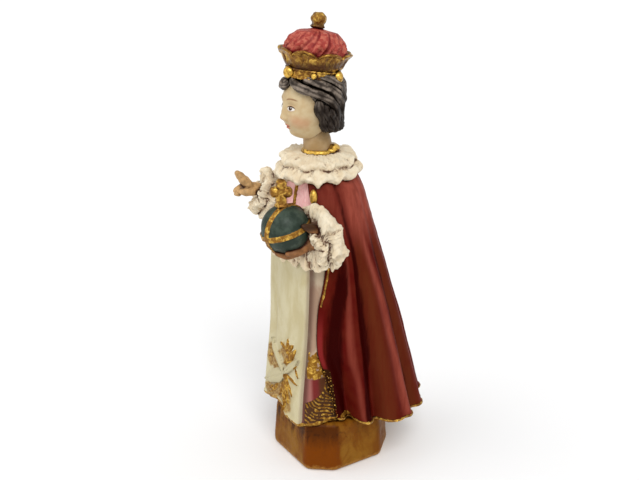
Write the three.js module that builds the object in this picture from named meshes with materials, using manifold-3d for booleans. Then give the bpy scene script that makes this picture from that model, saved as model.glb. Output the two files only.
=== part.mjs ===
// A small painted cast-resin statuette: a crowned child standing in a long gown and an open cape,
// its right hand raised and its left hand holding an orb, on a low eight-sided base.
// Millimetres, +Z up. The child faces -Y and its left hand is on the +X side. The origin is the
// centre of the base's underside. Angles round the body run from the front (-Y) towards +X.
import * as THREE from "three";
import { mergeVertices } from "three/addons/utils/BufferGeometryUtils.js";
import Module from "manifold-3d";

const wasm = await Module();
wasm.setup();

// Base
const BASE_WIDTH = 29;
const BASE_DEPTH = 28;
const BASE_HEIGHT = 14;
// Where each upright face of the base ends, the sides being named for the child's own left and right
const BASE_FRONT_ENDS = [-7.3, 9.7];
const BASE_BACK_ENDS = [-8.3, 8.3];
const BASE_LEFT_ENDS = [-7.8, 7.2];
const BASE_RIGHT_ENDS = [-7.8, 7.8];
const BASE_CORNER_RADIUS = 2.6;
const BASE_SOFT_EDGE = 0.8;
const BASE_TAPER = 0.8;

// Figure, from the top of the base to the top of the crown's knob. Its pose, proportions and
// carving are laid out on a grid of CARVING_STEPS steps of that height.
const FIGURE_HEIGHT = 106;
const CARVING_STEPS = 106;

// Cloth
const CAPE_CLOTH = 1.2;
const PANEL_CLOTH = 0.8;
const RELIEF_PROUD = 0.8;
const RUFF_DIAMETER = 22.4;
const RUFF_COLLAR_DIAMETER = 19.4;
const RUFF_CLOTH = 1.8;
const LEFT_CUFF_DIAMETER = 18;
const RIGHT_CUFF_DIAMETER = 14.2;
const CUFF_CLOTH = 2;
const SLEEVE_DIAMETER = 7;

// Orb, neck and crown
const ORB_DIAMETER = 12.2;
const ORB_BAND_WIDTH = 1.5;
const ORB_BAND_PROUD = 0.4;
const FINGER_DIAMETER = 2.2;
const NECK_DIAMETER = 7.2;
const NECKLACE_THICKNESS = 1.1;
const CROWN_RIM_DIAMETER = 13.2;
const CROWN_RIM_HEIGHT = 2.4;
const CROWN_FLARE = 2.5;
const CROWN_LOBE_HEIGHT = 4.5;
const CROWN_LOBES = 8;
const CROWN_JEWELS = 6;
const CROWN_JEWEL_SIZE = 1.9;
const KNOB_DIAMETER = 3.8;

const unit = FIGURE_HEIGHT / CARVING_STEPS;
const deg = THREE.MathUtils.degToRad;
const { clamp, lerp, smoothstep } = THREE.MathUtils;

// A point of the carving grid, which stands on the base and is centred over it.
function at(x, y, z) {
  return new THREE.Vector3(x * unit, y * unit, BASE_HEIGHT + z * unit);
}

function vector(x, y, z) {
  return new THREE.Vector3(x, y, z);
}

function direction(angle) {
  return vector(Math.sin(deg(angle)), -Math.cos(deg(angle)), 0);
}

// A smooth curve through [position, value] pairs, level beyond both ends.
function curve(pairs) {
  const last = pairs.length - 1;
  const slope = (i) => {
    const [x0, y0] = pairs[Math.max(i - 1, 0)];
    const [x1, y1] = pairs[Math.min(i + 1, last)];
    return (y1 - y0) / (x1 - x0);
  };
  return (position) => {
    const next = pairs.findIndex((pair) => pair[0] > position);
    if (next < 0) return pairs[last][1];
    if (next === 0) return pairs[0][1];
    const [x0, y0] = pairs[next - 1];
    const [x1, y1] = pairs[next];
    const span = x1 - x0;
    const t = (position - x0) / span;
    const start = (1 + 2 * t) * (1 - t) ** 2 * y0 + t * (1 - t) ** 2 * span * slope(next - 1);
    const end = t * t * (3 - 2 * t) * y1 + t * t * (t - 1) * span * slope(next);
    return start + end;
  };
}

// A rounded bump, 1 at its middle and 0 at one width either side.
function bump(distance, width) {
  const share = Math.min(Math.abs(distance) / width, 1);
  return (1 - share * share) ** 2;
}

// A closed geometry whose vertices are moved one by one.
function reshape(geometry, move) {
  const { position } = geometry.attributes;
  const vertex = vector(0, 0, 0);
  for (let i = 0; i < position.count; i += 1) {
    const moved = move(vertex.fromBufferAttribute(position, i).clone());
    position.setXYZ(i, moved.x, moved.y, moved.z);
  }
  return geometry;
}

function solidOf(geometry) {
  geometry.deleteAttribute("normal");
  geometry.deleteAttribute("uv");
  const merged = mergeVertices(geometry, 1e-4);
  const vertProperties = merged.attributes.position.array;
  const triVerts = new Uint32Array(merged.index.array);
  return new wasm.Manifold(new wasm.Mesh({ numProp: 3, vertProperties, triVerts }));
}

function fuse(geometries) {
  return geometries.map(solidOf).reduce((whole, piece) => whole.add(piece));
}

// A round-ended sweep through points, with a thickness at each share of its length. Its section
// is `flat` times as deep as it is wide, and it is deep across `reference`.
const SLANT = vector(0.31, 0.21, 0.93);
function sweep(points, thickness, { sides = 8, rings = 8, flat = 1, reference = SLANT } = {}) {
  const path = new THREE.CatmullRomCurve3(points);
  return reshape(new THREE.SphereGeometry(1, sides, rings), (n) => {
    const share = Math.acos(clamp(-n.y, -1, 1)) / Math.PI;
    const ring = Math.hypot(n.x, n.z);
    const round = Math.sqrt(Math.max(0, 1 - Math.abs(2 * share - 1) ** 4));
    const radius = ring < 1e-6 ? 0 : (thickness(share) / 2) * (round / ring);
    const along = path.getTangent(share);
    const side = vector(0, 0, 0).crossVectors(reference, along).normalize();
    const up = vector(0, 0, 0).crossVectors(along, side);
    return path
      .getPoint(share)
      .addScaledVector(side, n.z * radius)
      .addScaledVector(up, n.x * radius * flat);
  });
}

function unitBall(sides, rings) {
  return new THREE.SphereGeometry(1, sides, rings).rotateX(Math.PI / 2);
}

// A solid of revolution about +Z whose outline runs up from the axis and back to it. Each of its
// points is [reach, height], moved by move(point, turn).
function spun(outline, sides, move) {
  const rings = outline.length - 1;
  return reshape(unitBall(sides, rings), (n) => {
    const point = outline[Math.round((Math.acos(clamp(-n.z, -1, 1)) / Math.PI) * rings)];
    const turn = Math.atan2(n.y, n.x);
    const [reach, height] = point[0] === 0 ? point : move(point, turn);
    return vector(reach * Math.cos(turn), reach * Math.sin(turn), height);
  });
}

function ball(centre, width, depth, height, sides = 12, rings = 8) {
  const half = vector(width / 2, depth / 2, height / 2);
  return reshape(unitBall(sides, rings), (n) => n.multiply(half).add(centre));
}

// A solid disc whose rim stands out as a band round an axis.
function band(centre, axis, diameter, wide, sides) {
  const turn = new THREE.Quaternion().setFromUnitVectors(vector(0, 0, 1), axis);
  const [reach, half] = [diameter / 2, wide / 2];
  const outline = [
    [0, -half],
    [reach, -half],
    [reach, half],
    [0, half],
  ];
  const disc = spun(outline, sides, (point) => point).applyQuaternion(turn);
  return disc.translate(centre.x, centre.y, centre.z);
}

// Base

// An outline with its corners rounded off, as three points each.
function rounded(corners, radius) {
  const points = corners.map(([x, y]) => new THREE.Vector2(x, y));
  return points.flatMap((corner, i) => {
    const towards = (step) => points[(i + step) % points.length].clone().sub(corner).normalize();
    const [back, ahead] = [towards(points.length - 1), towards(1)];
    const inward = back.clone().add(ahead).normalize();
    const half = Math.acos(inward.dot(ahead));
    const place = (way, reach) => corner.clone().addScaledVector(way, reach);
    const tangent = radius / Math.tan(half);
    return [place(back, tangent), place(inward, radius / Math.sin(half) - radius), place(ahead, tangent)];
  });
}

function base() {
  const side = BASE_WIDTH / 2;
  const front = BASE_DEPTH / 2;
  const corners = [
    [BASE_FRONT_ENDS[1], -front],
    [side, BASE_LEFT_ENDS[0]],
    [side, BASE_LEFT_ENDS[1]],
    [BASE_BACK_ENDS[1], front],
    [BASE_BACK_ENDS[0], front],
    [-side, BASE_RIGHT_ENDS[1]],
    [-side, BASE_RIGHT_ENDS[0]],
    [BASE_FRONT_ENDS[0], -front],
  ];
  const outline = new THREE.Shape(rounded(corners, BASE_CORNER_RADIUS));
  const block = new THREE.ExtrudeGeometry(outline, {
    depth: BASE_HEIGHT - 2 * BASE_SOFT_EDGE,
    bevelThickness: BASE_SOFT_EDGE,
    bevelSize: BASE_SOFT_EDGE,
    bevelOffset: -BASE_SOFT_EDGE,
    bevelSegments: 1,
  });
  block.translate(0, 0, BASE_SOFT_EDGE);
  return reshape(block, (p) => {
    const narrow = 1 - (BASE_TAPER / side) * (p.z / BASE_HEIGHT);
    return vector(p.x * narrow, p.y * narrow, p.z);
  });
}

// Gown and cape

const HEM = 0.4;
const NECK_FOOT = 69;
const WAIST = 52.5;
const axisAt = curve([
  [HEM, 3.3],
  [66, -3],
  [NECK_FOOT, -3.6],
]);
const gownWidth = curve([
  [HEM, 11.8],
  [23.5, 11.1],
  [40.5, 10.3],
  [WAIST, 9.4],
  [60.5, 8.2],
  [66, 6.8],
  [NECK_FOOT, 4.4],
]);
const gownFront = curve([
  [HEM, 18.6],
  [10.5, 16.7],
  [23.5, 14.4],
  [40.5, 12.3],
  [WAIST, 10.4],
  [60.5, 8.8],
  [66, 6.8],
  [NECK_FOOT, 4.2],
]);
const capeReach = curve([
  [HEM, 22.4],
  [23.5, 18.4],
  [40.5, 15],
  [57.5, 11.5],
  [63, 10.3],
  [66.5, 8.4],
  [NECK_FOOT, 5],
]);
// The angle of the cape's front edge, which swings forward at the hip and back at the hem.
const capeEdge = curve([
  [HEM, 56],
  [14, 48],
  [20, 43],
  [27, 43.5],
  [34, 47],
  [38, 51.5],
  [46, 58],
  [56, 50],
  [NECK_FOOT, 36],
]);
// Angles round the cape are given as they are where its edge is at FULL_EDGE. Nearer the front
// than SIDE they are stretched to follow the edge.
const FULL_EDGE = 50;
const SIDE = 95;
// Folds as [angle, depth (grooves below 0), half width].
const SIDE_FOLDS = [
  [62, -2.2, 9],
  [76, 1.1, 7.5],
  [88, -2.3, 7],
  [101, 0.7, 9],
  [112, 0.7, 6],
  [121, -1.2, 6],
  [131, 0.9, 8],
];
const FAR_SIDE_SWING = 4;
const BACK_FOLDS = [
  [146, -1.6, 7],
  [157, 0.6, 7],
  [169, -1.4, 6],
  [183, 0.7, 8],
  [197, -1.8, 7],
  [211, 0.8, 7],
];

function capeAngle(round, z) {
  const near = Math.min(round, 360 - round);
  if (near > SIDE) return round;
  const angle = lerp(capeEdge(z), SIDE, (near - FULL_EDGE) / (SIDE - FULL_EDGE));
  return round < 180 ? angle : 360 - angle;
}

// How far the gown reaches from the body's axis: a rounded rectangle with a few soft folds.
function gownReach(angle, z) {
  const x = Math.abs(Math.sin(deg(angle))) / gownWidth(z);
  const y = Math.abs(Math.cos(deg(angle))) / gownFront(z);
  const low = 1 - smoothstep(z, 0, NECK_FOOT);
  const flare = 1 - smoothstep(z, 0, 24);
  const corner = (0.4 + 1.1 * flare) * bump(angle + 38, 10) - 0.8 * low * bump(angle + 25, 8);
  const strip = -0.8 * bump(angle - 44, 7) * low + 0.5 * flare * bump(angle - 22, 9);
  return (x ** 6 + y ** 6) ** (-1 / 6) + corner + strip;
}

function capeFolds(round, z) {
  const shallow = 1.12 * (1 - clamp(z / NECK_FOOT, 0, 1)) ** 1.15;
  const side = round <= 180 ? round : 360 - round + FAR_SIDE_SWING;
  const sum = (folds, angle) =>
    folds.reduce((total, [fold, depth, width]) => total + depth * bump(angle - fold, width), 0);
  return shallow * (sum(SIDE_FOLDS, side) + sum(BACK_FOLDS, round));
}

function capeShape(round, z) {
  const edge = capeEdge(z);
  const angle = capeAngle(round, z);
  const fromEdge = smoothstep(Math.min(angle, 360 - angle), edge, 115);
  const front = gownReach(edge, z) + CAPE_CLOTH / unit;
  return lerp(front, capeReach(z), fromEdge) + capeFolds(round, z);
}

// A slice of cloth round the body's axis. Its outer face goes from one edge to the other, where
// face(round, height) gives an angle and a reach, and its sides run in to a line `behind` the axis.
function cloth({ from, to, face, foot, top, around, rings, behind }) {
  const segments = around + 2;
  const tube = new THREE.CylinderGeometry(1, 1, 1, segments, rings);
  return reshape(tube, (n) => {
    const turn = (Math.atan2(n.x, n.z) + 2 * Math.PI) % (2 * Math.PI);
    const step = Math.round((turn / (2 * Math.PI)) * segments) % segments;
    const z = lerp(foot, top, 1 - (0.5 - n.y) ** 1.4);
    const middle = Math.hypot(n.x, n.z) < 0.5;
    const round = lerp(from, to, middle ? 0.5 : Math.min(step / around, 1));
    const { angle, reach } = face(round, z);
    const share = middle ? 0.3 : Number(step <= around);
    const spoke = direction(angle).multiplyScalar(reach * share);
    return at(spoke.x, spoke.y + axisAt(z) + behind * (1 - share), z);
  });
}

function gown() {
  const face = (angle, z) => ({ angle, reach: gownReach(angle, z) });
  return cloth({ from: -88, to: 88, face, foot: -0.8, top: NECK_FOOT, around: 26, rings: 7, behind: 2 });
}

function frontPanel() {
  const face = (round, z) => {
    const narrow = round > 0 ? lerp(0.7, 1, smoothstep(z, 0, WAIST)) : 1;
    const angle = round * narrow;
    return { angle, reach: gownReach(angle, z) + PANEL_CLOTH / unit };
  };
  return cloth({ from: -41, to: 38, face, foot: HEM, top: WAIST, around: 14, rings: 6, behind: 1 });
}

function cape() {
  const face = (round, z) => ({ angle: capeAngle(round, z), reach: capeShape(round, z) });
  const [from, to] = [FULL_EDGE, 360 - FULL_EDGE];
  return cloth({ from, to, face, foot: HEM - 0.1, top: NECK_FOOT - 0.3, around: 62, rings: 8, behind: -2 });
}

// A point on the front panel, or proud of it.
function onPanel(x, z, proud = 0) {
  const y = gownFront(z) * (1 - (x / gownWidth(z)) ** 6) ** (1 / 6) + PANEL_CLOTH / unit + proud;
  return at(x, axisAt(z) - y, z);
}

// The relief at the foot of the front panel: long leaves and sprigs that spread from one point.
const RELIEF_ROOT = [1.2, 12.8];
const LEAVES = [
  [-5, 18.8, 3],
  [5.4, 18, 2.6],
  [-8.8, 6.4, 3.2],
];
const SPRIGS = [
  [1, 21, 2.8],
  [4.6, 5.6, 1.8],
  [1.4, 2.6, 2],
];

function reliefStroke([x, z, width], proud) {
  const [rootX, rootZ] = RELIEF_ROOT;
  const places = [0, 0.35, 0.7, 1].map((share) => {
    return onPanel(lerp(rootX, x, share), lerp(rootZ, z, share), 0.1);
  });
  const leaf = (share) => width * unit * (0.4 + 0.6 * Math.sin(Math.PI * share));
  const forward = vector(0, 1, 0);
  const flat = (2 * proud) / (width * unit);
  return sweep(places, leaf, { sides: 5, rings: 4, flat, reference: forward });
}

// Ruff and cuffs

// Two frills of cloth in one solid about +Z. Its outline's points are [reach, height, frill], and
// those with a frill wave with it.
function frilled(outline, frills, sides) {
  return spun(outline, sides, ([reach, height, frill], turn) => {
    if (frill === undefined) return [reach, height];
    const { waves, depth, phase, lean = () => 0 } = frills[frill];
    const swell = 0.5 * depth * Math.cos(waves * turn + 2 * phase);
    return [reach + swell, height + depth * Math.sin(waves * turn + phase) - lean(turn)];
  });
}

function ruff() {
  const seat = at(0, -4, 0);
  const low = 67.3 * unit;
  const high = 70.4 * unit;
  const foot = low - 1.8 * unit;
  const top = high + RUFF_CLOTH / 2 + 0.4 * unit;
  const rim = RUFF_DIAMETER / 2;
  const collar = RUFF_COLLAR_DIAMETER / 2;
  const outline = [
    [0, foot],
    [0.6 * rim, foot],
    [0.94 * rim, low - RUFF_CLOTH / 2, 0],
    [rim, low, 0],
    [0.93 * rim, low + RUFF_CLOTH / 2, 0],
    [0.84 * collar, (low + high) / 2],
    [0.95 * collar, high - RUFF_CLOTH / 2, 1],
    [collar, high, 1],
    [0.9 * collar, high + RUFF_CLOTH / 2, 1],
    [0.5 * collar, top],
    [0, top],
  ];
  const lower = (turn) => 0.6 * unit * Math.cos(turn + deg(75));
  const upper = (turn) => 0.5 * unit * Math.cos(turn + deg(45));
  const frills = [
    { waves: 13, depth: 0.5 * unit, phase: 0, lean: lower },
    { waves: 9, depth: 0.45 * unit, phase: 1, lean: upper },
  ];
  return frilled(outline, frills, 42).translate(seat.x, seat.y, seat.z);
}

// A cuff of two frills round the wrist, the larger one behind. The front one may hang lower.
function cuff(seat, axis, diameter, { squeeze, gap, front: share, drop, sides }) {
  const half = diameter / 2;
  const back = -0.16 * half;
  const front = back + gap * half;
  const outline = [
    [0, back - 0.6 * half],
    [0.6 * half, back - 0.35 * half],
    [0.95 * half, back - CUFF_CLOTH / 2, 0],
    [half, back, 0],
    [0.9 * half, back + CUFF_CLOTH / 2, 0],
    [(share - 0.14) * half, (back + front) / 2],
    [share * half, front - CUFF_CLOTH / 4, 1],
    [(share - 0.03) * half, front + CUFF_CLOTH / 2, 1],
    [0, front - CUFF_CLOTH / 4],
  ];
  const frills = [
    { waves: 7, depth: 0.07 * half, phase: 0.6 },
    { waves: 6, depth: 0.07 * half, phase: 2.2 },
  ];
  const turn = new THREE.Quaternion().setFromUnitVectors(vector(0, 0, 1), axis);
  const ring = frilled(outline, frills, sides).scale(squeeze, 1, 1);
  return reshape(ring, (p) => {
    const hang = drop * smoothstep(p.z, back + CUFF_CLOTH / 2, front - CUFF_CLOTH / 2);
    return p.clone().applyQuaternion(turn).add(seat).add(vector(0, 0, -hang));
  });
}

// Arms and hands

const LEFT_ELBOW = at(7, 1, 53);
const LEFT_WRIST = at(11, -8.2, 51.9);
const LEFT_FOREARM = vector(-0.15, -0.98, 0.1).normalize();
const RIGHT_ELBOW = at(-7, -1, 55);
const RIGHT_WRIST = at(-9.8, -14, 60);
const RIGHT_FOREARM = vector(-0.35, -0.85, 0.4).normalize();
// The cuffs' seats on the forearms' lines
const LEFT_CUFF = LEFT_WRIST.clone().addScaledVector(LEFT_FOREARM, 3 * unit);
const LEFT_CUFF_AXIS = vector(0.12, -0.94, -0.24).normalize();
const RIGHT_CUFF = RIGHT_WRIST.clone().addScaledVector(RIGHT_FOREARM, -0.6 * unit);

const LEFT_CUFF_FORM = { squeeze: 0.92, gap: 0.34, front: 0.64, drop: 1.8 * unit, sides: 22 };
const RIGHT_CUFF_FORM = { squeeze: 0.9, gap: 0.42, front: 0.86, drop: 0, sides: 16 };

function sleeve(elbow, wrist) {
  const points = [elbow, elbow.clone().lerp(wrist, 0.5), wrist];
  const puff = (share) => SLEEVE_DIAMETER * lerp(1.1, 0.7, share);
  return sweep(points, puff, { sides: 10, rings: 5 });
}

// The orb stands in the left palm. Round it, `swing` goes from the wrist to the fingertips and
// `side` from below towards the thumb.
const ORB_TO_WRIST = vector(0.5, 0.71, -0.49).normalize();
const PALM_THICKNESS = 4 * unit;
const PALM = LEFT_WRIST.clone().addScaledVector(LEFT_FOREARM, 4 * unit);
const ORB_CENTRE = PALM.clone()
  .addScaledVector(ORB_TO_WRIST, -(ORB_DIAMETER / 2 + PALM_THICKNESS * 0.4))
  .add(vector(0, 0, -0.7 * unit));

const GIRDLE_AXIS = vector(-0.12, -0.3, 1).normalize();
const ARCH_AXIS = vector(0.94, 0.2, -0.14).normalize();

function onOrb(side, swing, proud) {
  const outward = vector(0.98, -0.15, 0);
  const across = vector(0, 0, -Math.cos(deg(side))).addScaledVector(outward, Math.sin(deg(side)));
  const way = across.multiplyScalar(Math.cos(deg(swing)));
  way.addScaledVector(LEFT_FOREARM, Math.sin(deg(swing))).normalize();
  return ORB_CENTRE.clone().addScaledVector(way, ORB_DIAMETER / 2 + proud);
}

function leftHand() {
  const proud = FINGER_DIAMETER * 0.3;
  const finger = (side, reach) => {
    const places = [-58, -25, 0, reach].map((swing) => onOrb(side, swing, proud));
    return sweep(places, (share) => FINGER_DIAMETER * lerp(1.15, 0.8, share), { sides: 5, rings: 5 });
  };
  const thumb = sweep(
    [
      LEFT_WRIST.clone().add(vector(1.6, 1, 2.4).multiplyScalar(unit)),
      onOrb(84, -70, proud * 4),
      onOrb(104, -42, proud * 1.8),
      onOrb(112, -14, proud),
    ],
    (share) => FINGER_DIAMETER * lerp(1.7, 0.85, share),
    { sides: 5, rings: 5 },
  );
  const palm = sweep([LEFT_WRIST, PALM, onOrb(0, -48, proud)], () => PALM_THICKNESS * 1.2, {
    sides: 7,
    rings: 5,
  });
  return [palm, thumb, finger(40, 16), finger(14, 30), finger(-12, 28), finger(-38, 14)];
}

// The orb, with a raised girdle and an arch over it.
function orb() {
  const radius = ORB_DIAMETER / 2;
  const raised = radius + ORB_BAND_PROUD;
  const edge = THREE.MathUtils.radToDeg(ORB_BAND_WIDTH / 2 / radius);
  const outline = [
    [-90, radius],
    [-60, radius],
    [-34, radius],
    [-edge - 2, radius],
    [-edge, raised],
    [edge, raised],
    [edge + 2, radius],
    [34, radius],
    [60, radius],
    [90, radius],
  ].map(([rise, reach]) => [reach * Math.max(0, Math.cos(deg(rise))), reach * Math.sin(deg(rise))]);
  outline[0][0] = 0;
  outline[outline.length - 1][0] = 0;
  const tilt = new THREE.Quaternion().setFromUnitVectors(vector(0, 0, 1), GIRDLE_AXIS);
  const globe = spun(outline, 16, (point) => point).applyQuaternion(tilt);
  const arch = band(ORB_CENTRE, ARCH_AXIS, 2 * raised, ORB_BAND_WIDTH, 16);
  return [globe.translate(ORB_CENTRE.x, ORB_CENTRE.y, ORB_CENTRE.z), arch, ...orbCross()];
}

function orbCross() {
  const top = vector(0.04, -0.22, 0.95).normalize();
  const foot = ORB_CENTRE.clone().addScaledVector(top, ORB_DIAMETER / 2 - 0.4 * unit);
  const height = 7.4 * unit;
  const arm = vector(0.53, 0.85, 0).multiplyScalar(2.8 * unit);
  const middle = foot.clone().add(vector(0, 0, height * 0.55));
  const flare = (share) => unit * (2.2 + 1.2 * Math.abs(2 * share - 1));
  const ends = [middle.clone().sub(arm), middle, middle.clone().add(arm)];
  const post = [foot, middle, foot.clone().add(vector(0, 0, height))];
  return [ends, post].map((points) => sweep(points, flare, { sides: 6, rings: 5 }));
}

function rightHand() {
  const hand = (x, y, z) => RIGHT_WRIST.clone().add(vector(x, y, z).multiplyScalar(unit));
  const finger = (points) =>
    sweep(points, (share) => FINGER_DIAMETER * lerp(1.2, 0.85, share), { sides: 5, rings: 5 });
  const palm = [hand(0.7, 1.7, -0.8), hand(-0.2, -1.6, 0.7), hand(-0.4, -5, 2)];
  return [
    sweep(palm, () => PALM_THICKNESS * 0.85, { sides: 7, rings: 5 }),
    finger([hand(-0.9, -4, 2.2), hand(-1, -6, 4.2), hand(-1, -8, 6.4)]),
    finger([hand(0.3, -4, 2), hand(0.3, -6.2, 3.8), hand(0.3, -8, 5.6)]),
    finger([hand(-1, -4.4, 1.6), hand(-1.1, -6.6, 1.6), hand(-1, -7.8, 0.8), hand(-0.9, -6.6, 0)]),
    finger([hand(0.2, -2.6, 1), hand(0.9, -5.4, 1), hand(0.6, -8, 1.4)]),
  ];
}

// Head

const HEAD_TURN = -5;
const HEAD_TILT = -4;
const HEAD_RISE = 84;
const HEAD = headFrame(HEAD_TILT, at(-0.2, -6.2, HEAD_RISE));

// A frame of the turned head, tilted back by an angle, with its origin at a point.
function headFrame(tilt, origin) {
  const frame = new THREE.Matrix4().makeRotationZ(deg(HEAD_TURN));
  return frame.multiply(new THREE.Matrix4().makeRotationX(deg(tilt))).setPosition(origin);
}

// A point of the head's own frame, which faces -Y and has its origin between the ears.
function onHead(x, y, z) {
  return vector(x * unit, y * unit, z * unit);
}

const nose = curve([
  [-4.4, 0],
  [-4, 0.75],
  [-3.5, 1.25],
  [-2, 0.6],
  [-0.4, 0.25],
  [1.2, 0],
]);

// How far the face's features stand out, at x to either side and z up.
function faceRelief(x, z) {
  const side = Math.abs(x);
  const spot = (left, up, width, height) => bump(side - left, width) * bump(z - up, height);
  const ridge = nose(z) * bump(x, 1.5 - 0.16 * (z + 3.2));
  const eye = 0.4 * spot(2.4, -0.8, 1.3, 1) - 0.5 * spot(2.3, -0.7, 2.2, 1.7);
  const brow = 0.2 * spot(2.5, 1.5, 2.2, 1);
  const mouth = 0.45 * spot(0, -5.5, 1.6, 0.9) - 0.2 * spot(0, -6.6, 1.6, 0.7);
  return ridge + eye + brow + mouth + 0.45 * spot(0, -7.6, 1.9, 1.3) + 0.5 * spot(3.4, -3.9, 2.9, 3.1);
}

function head() {
  const skull = reshape(unitBall(22, 14), (n) => {
    const turn = Math.atan2(n.x, -n.y);
    const ring = Math.hypot(n.x, n.y);
    const way = direction(THREE.MathUtils.radToDeg(turn - 0.45 * Math.sin(turn)));
    const z = 8.8 * n.z;
    const low = smoothstep(-z, 1.5, 8.8);
    const full = ring ** (1 - 0.3 * smoothstep(-z, 0, 4));
    const x = 6.2 * way.x * full * (1 - 0.26 * low);
    const y = 7.2 * way.y * (way.y > 0 ? ring * (1 - 0.4 * low) : full * (1 - 0.06 * low));
    const front = smoothstep(-way.y, 0.25, 0.75);
    return onHead(x, y - front * faceRelief(x, z), z);
  });
  return skull.applyMatrix4(HEAD);
}

function neck() {
  const foot = at(0.3, -3.3, 66);
  const throat = onHead(0, 1.9, -6).applyMatrix4(HEAD);
  return [
    sweep([foot, foot.clone().lerp(throat, 0.5), throat], () => NECK_DIAMETER, { sides: 12, rings: 5 }),
    band(at(0.2, -3.6, 71.6), vector(0, 0, 1), NECK_DIAMETER + NECKLACE_THICKNESS, 1.4 * unit, 14),
    ball(at(3, -0.9, 72.1), 2.8 * unit, 2.4 * unit, 2.2 * unit, 7, 5),
  ];
}

// How far the skull reaches at an angle and a height.
function skullReach(angle, z) {
  const ring = Math.sqrt(Math.max(0, 1 - (z / 8.8) ** 2));
  return ring * lerp(7.2, 6.2, Math.abs(Math.sin(deg(angle))));
}

const HAIR_FOOT = -6.6;
const HAIR_TOP = 8;
const LOCKS_A_SIDE = 5;
const LOCK_DEPTH = 0.45;
const hairReach = curve([
  [HAIR_FOOT, 6.4],
  [-5.6, 7.7],
  [-2, 7.7],
  [1.5, 8.2],
  [5, 7.9],
  [HAIR_TOP, 6.2],
]);
// The angle at which the hair ends beside the face.
const hairline = curve([
  [-7, 94],
  [-5, 92],
  [-3, 87],
  [-1, 79],
  [1.5, 69],
  [3, 57],
  [4.4, 40],
  [5.6, 22],
  [6.4, -20],
]);

function hairPoint(angle, z, proud = 0) {
  const way = direction(angle);
  const full = hairReach(z) * lerp(1, 0.85, Math.abs(way.x));
  const back = smoothstep(Math.abs(angle), 30, 95);
  const reach = lerp(skullReach(angle, z) + 0.5, full, back) + proud;
  return onHead(way.x * reach, way.y * reach, z);
}

// The bob: one mass, carved into locks that wave as they fall.
function hairMass() {
  const mass = reshape(unitBall(36, 10), (n) => {
    const turn = Math.atan2(n.x, -n.y);
    const angle = THREE.MathUtils.radToDeg(turn + 0.35 * Math.sin(turn));
    const ring = Math.hypot(n.x, n.y);
    const share = Math.acos(clamp(-n.z, -1, 1)) / Math.PI;
    const z = lerp(HAIR_FOOT, HAIR_TOP, share);
    const shown = smoothstep(Math.abs(angle), hairline(z) - 6, hairline(z) + 6);
    const wave = deg(Math.abs(angle)) * LOCKS_A_SIDE * 2 + 2.2 * Math.sin(4 * share);
    const carving = LOCK_DEPTH * Math.cos(wave) * Math.sin(Math.PI * share);
    const kept = Math.min(1, ring * 2.2) * lerp(0.55, 1, shown);
    return onHead(0, 0, z).lerp(hairPoint(angle, z, carving), kept);
  });
  return mass.applyMatrix4(HEAD);
}

// Locks in front of the mass, along routes of [angle, height] pairs. The upper ones sweep back from
// the parting and the lower ones fall over the ear.
const CURL = [
  [-22, 5.6],
  [-9, 4.3],
  [3, 5.8],
];
const SIDE_LOCKS = [
  [
    [6, 7],
    [38, 4.6],
    [76, 3.6],
    [118, 0.2],
    [140, -5.2],
  ],
  [
    [84, 8],
    [120, 6.3],
    [152, 2.6],
    [166, -0.6],
  ],
  [
    [80, 2.2],
    [83, -0.4],
    [93, -3],
    [104, -6],
  ],
];

function lock(route, width, rings) {
  const places = route.map(([angle, z]) => hairPoint(angle, z, 0.2));
  const taper = (share) => width * unit * (1 - 0.25 * share);
  return sweep(places, taper, { sides: 5, rings, flat: 0.85 }).applyMatrix4(HEAD);
}

function hair() {
  const farLocks = SIDE_LOCKS.map((route) => route.map(([angle, z]) => [-angle, z]));
  const locks = [...SIDE_LOCKS, ...farLocks].map((route) => lock(route, 3.3, route.length + 1));
  return [hairMass(), lock(CURL, 2.9, 5), ...locks];
}

// Crown, which leans back a little more than the head

const CROWN_TILT = -7.2;
const CROWN = headFrame(CROWN_TILT, at(-0.15, -6.4, HEAD_RISE));
const KNOB_TOP = (CARVING_STEPS - HEAD_RISE) / Math.cos(deg(CROWN_TILT));
const RIM_FOOT = 6.3;
const CAP_TOP = 18.6;

// The gilt band: a plain rim and a ring of lobes that lean out above it.
function crownBand() {
  const rim = CROWN_RIM_DIAMETER / 2;
  const outline = [
    [0, 0],
    [rim, 0],
    [rim, CROWN_RIM_HEIGHT],
    [rim, CROWN_RIM_HEIGHT, 0.5],
    [rim, CROWN_RIM_HEIGHT, 1],
    [0, CROWN_RIM_HEIGHT],
  ];
  const tube = spun(outline, 5 * CROWN_LOBES, ([reach, height, up = 0], turn) => {
    const lobe = 0.7 + 0.3 * Math.abs(Math.cos((CROWN_LOBES * turn) / 2)) ** 0.6;
    return [reach + CROWN_FLARE * up ** 0.8 * lobe, height + CROWN_LOBE_HEIGHT * up * lobe];
  });
  return tube.translate(0, 0, RIM_FOOT * unit);
}

function crownCap() {
  const rim = CROWN_RIM_DIAMETER / 2;
  const foot = RIM_FOOT * unit + CROWN_RIM_HEIGHT / 2;
  const top = CAP_TOP * unit;
  const profile = curve([
    [0, 0.8],
    [0.3, 1.02],
    [0.5, 1.14],
    [0.75, 1.0],
    [1, 0.5],
  ]);
  return reshape(unitBall(27, 7), (n) => {
    const share = Math.acos(clamp(-n.z, -1, 1)) / Math.PI;
    const ring = Math.hypot(n.x, n.y);
    const turn = Math.atan2(n.y, n.x);
    const puff = 1 + 0.055 * Math.sin(9 * turn - 11 * share) * Math.sin(Math.PI * share);
    const reach = ring < 1e-6 ? 0 : (rim * profile(share) * puff * Math.min(1, ring * 3)) / ring;
    return vector(n.x * reach, n.y * reach, lerp(foot, top, share));
  });
}

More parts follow.
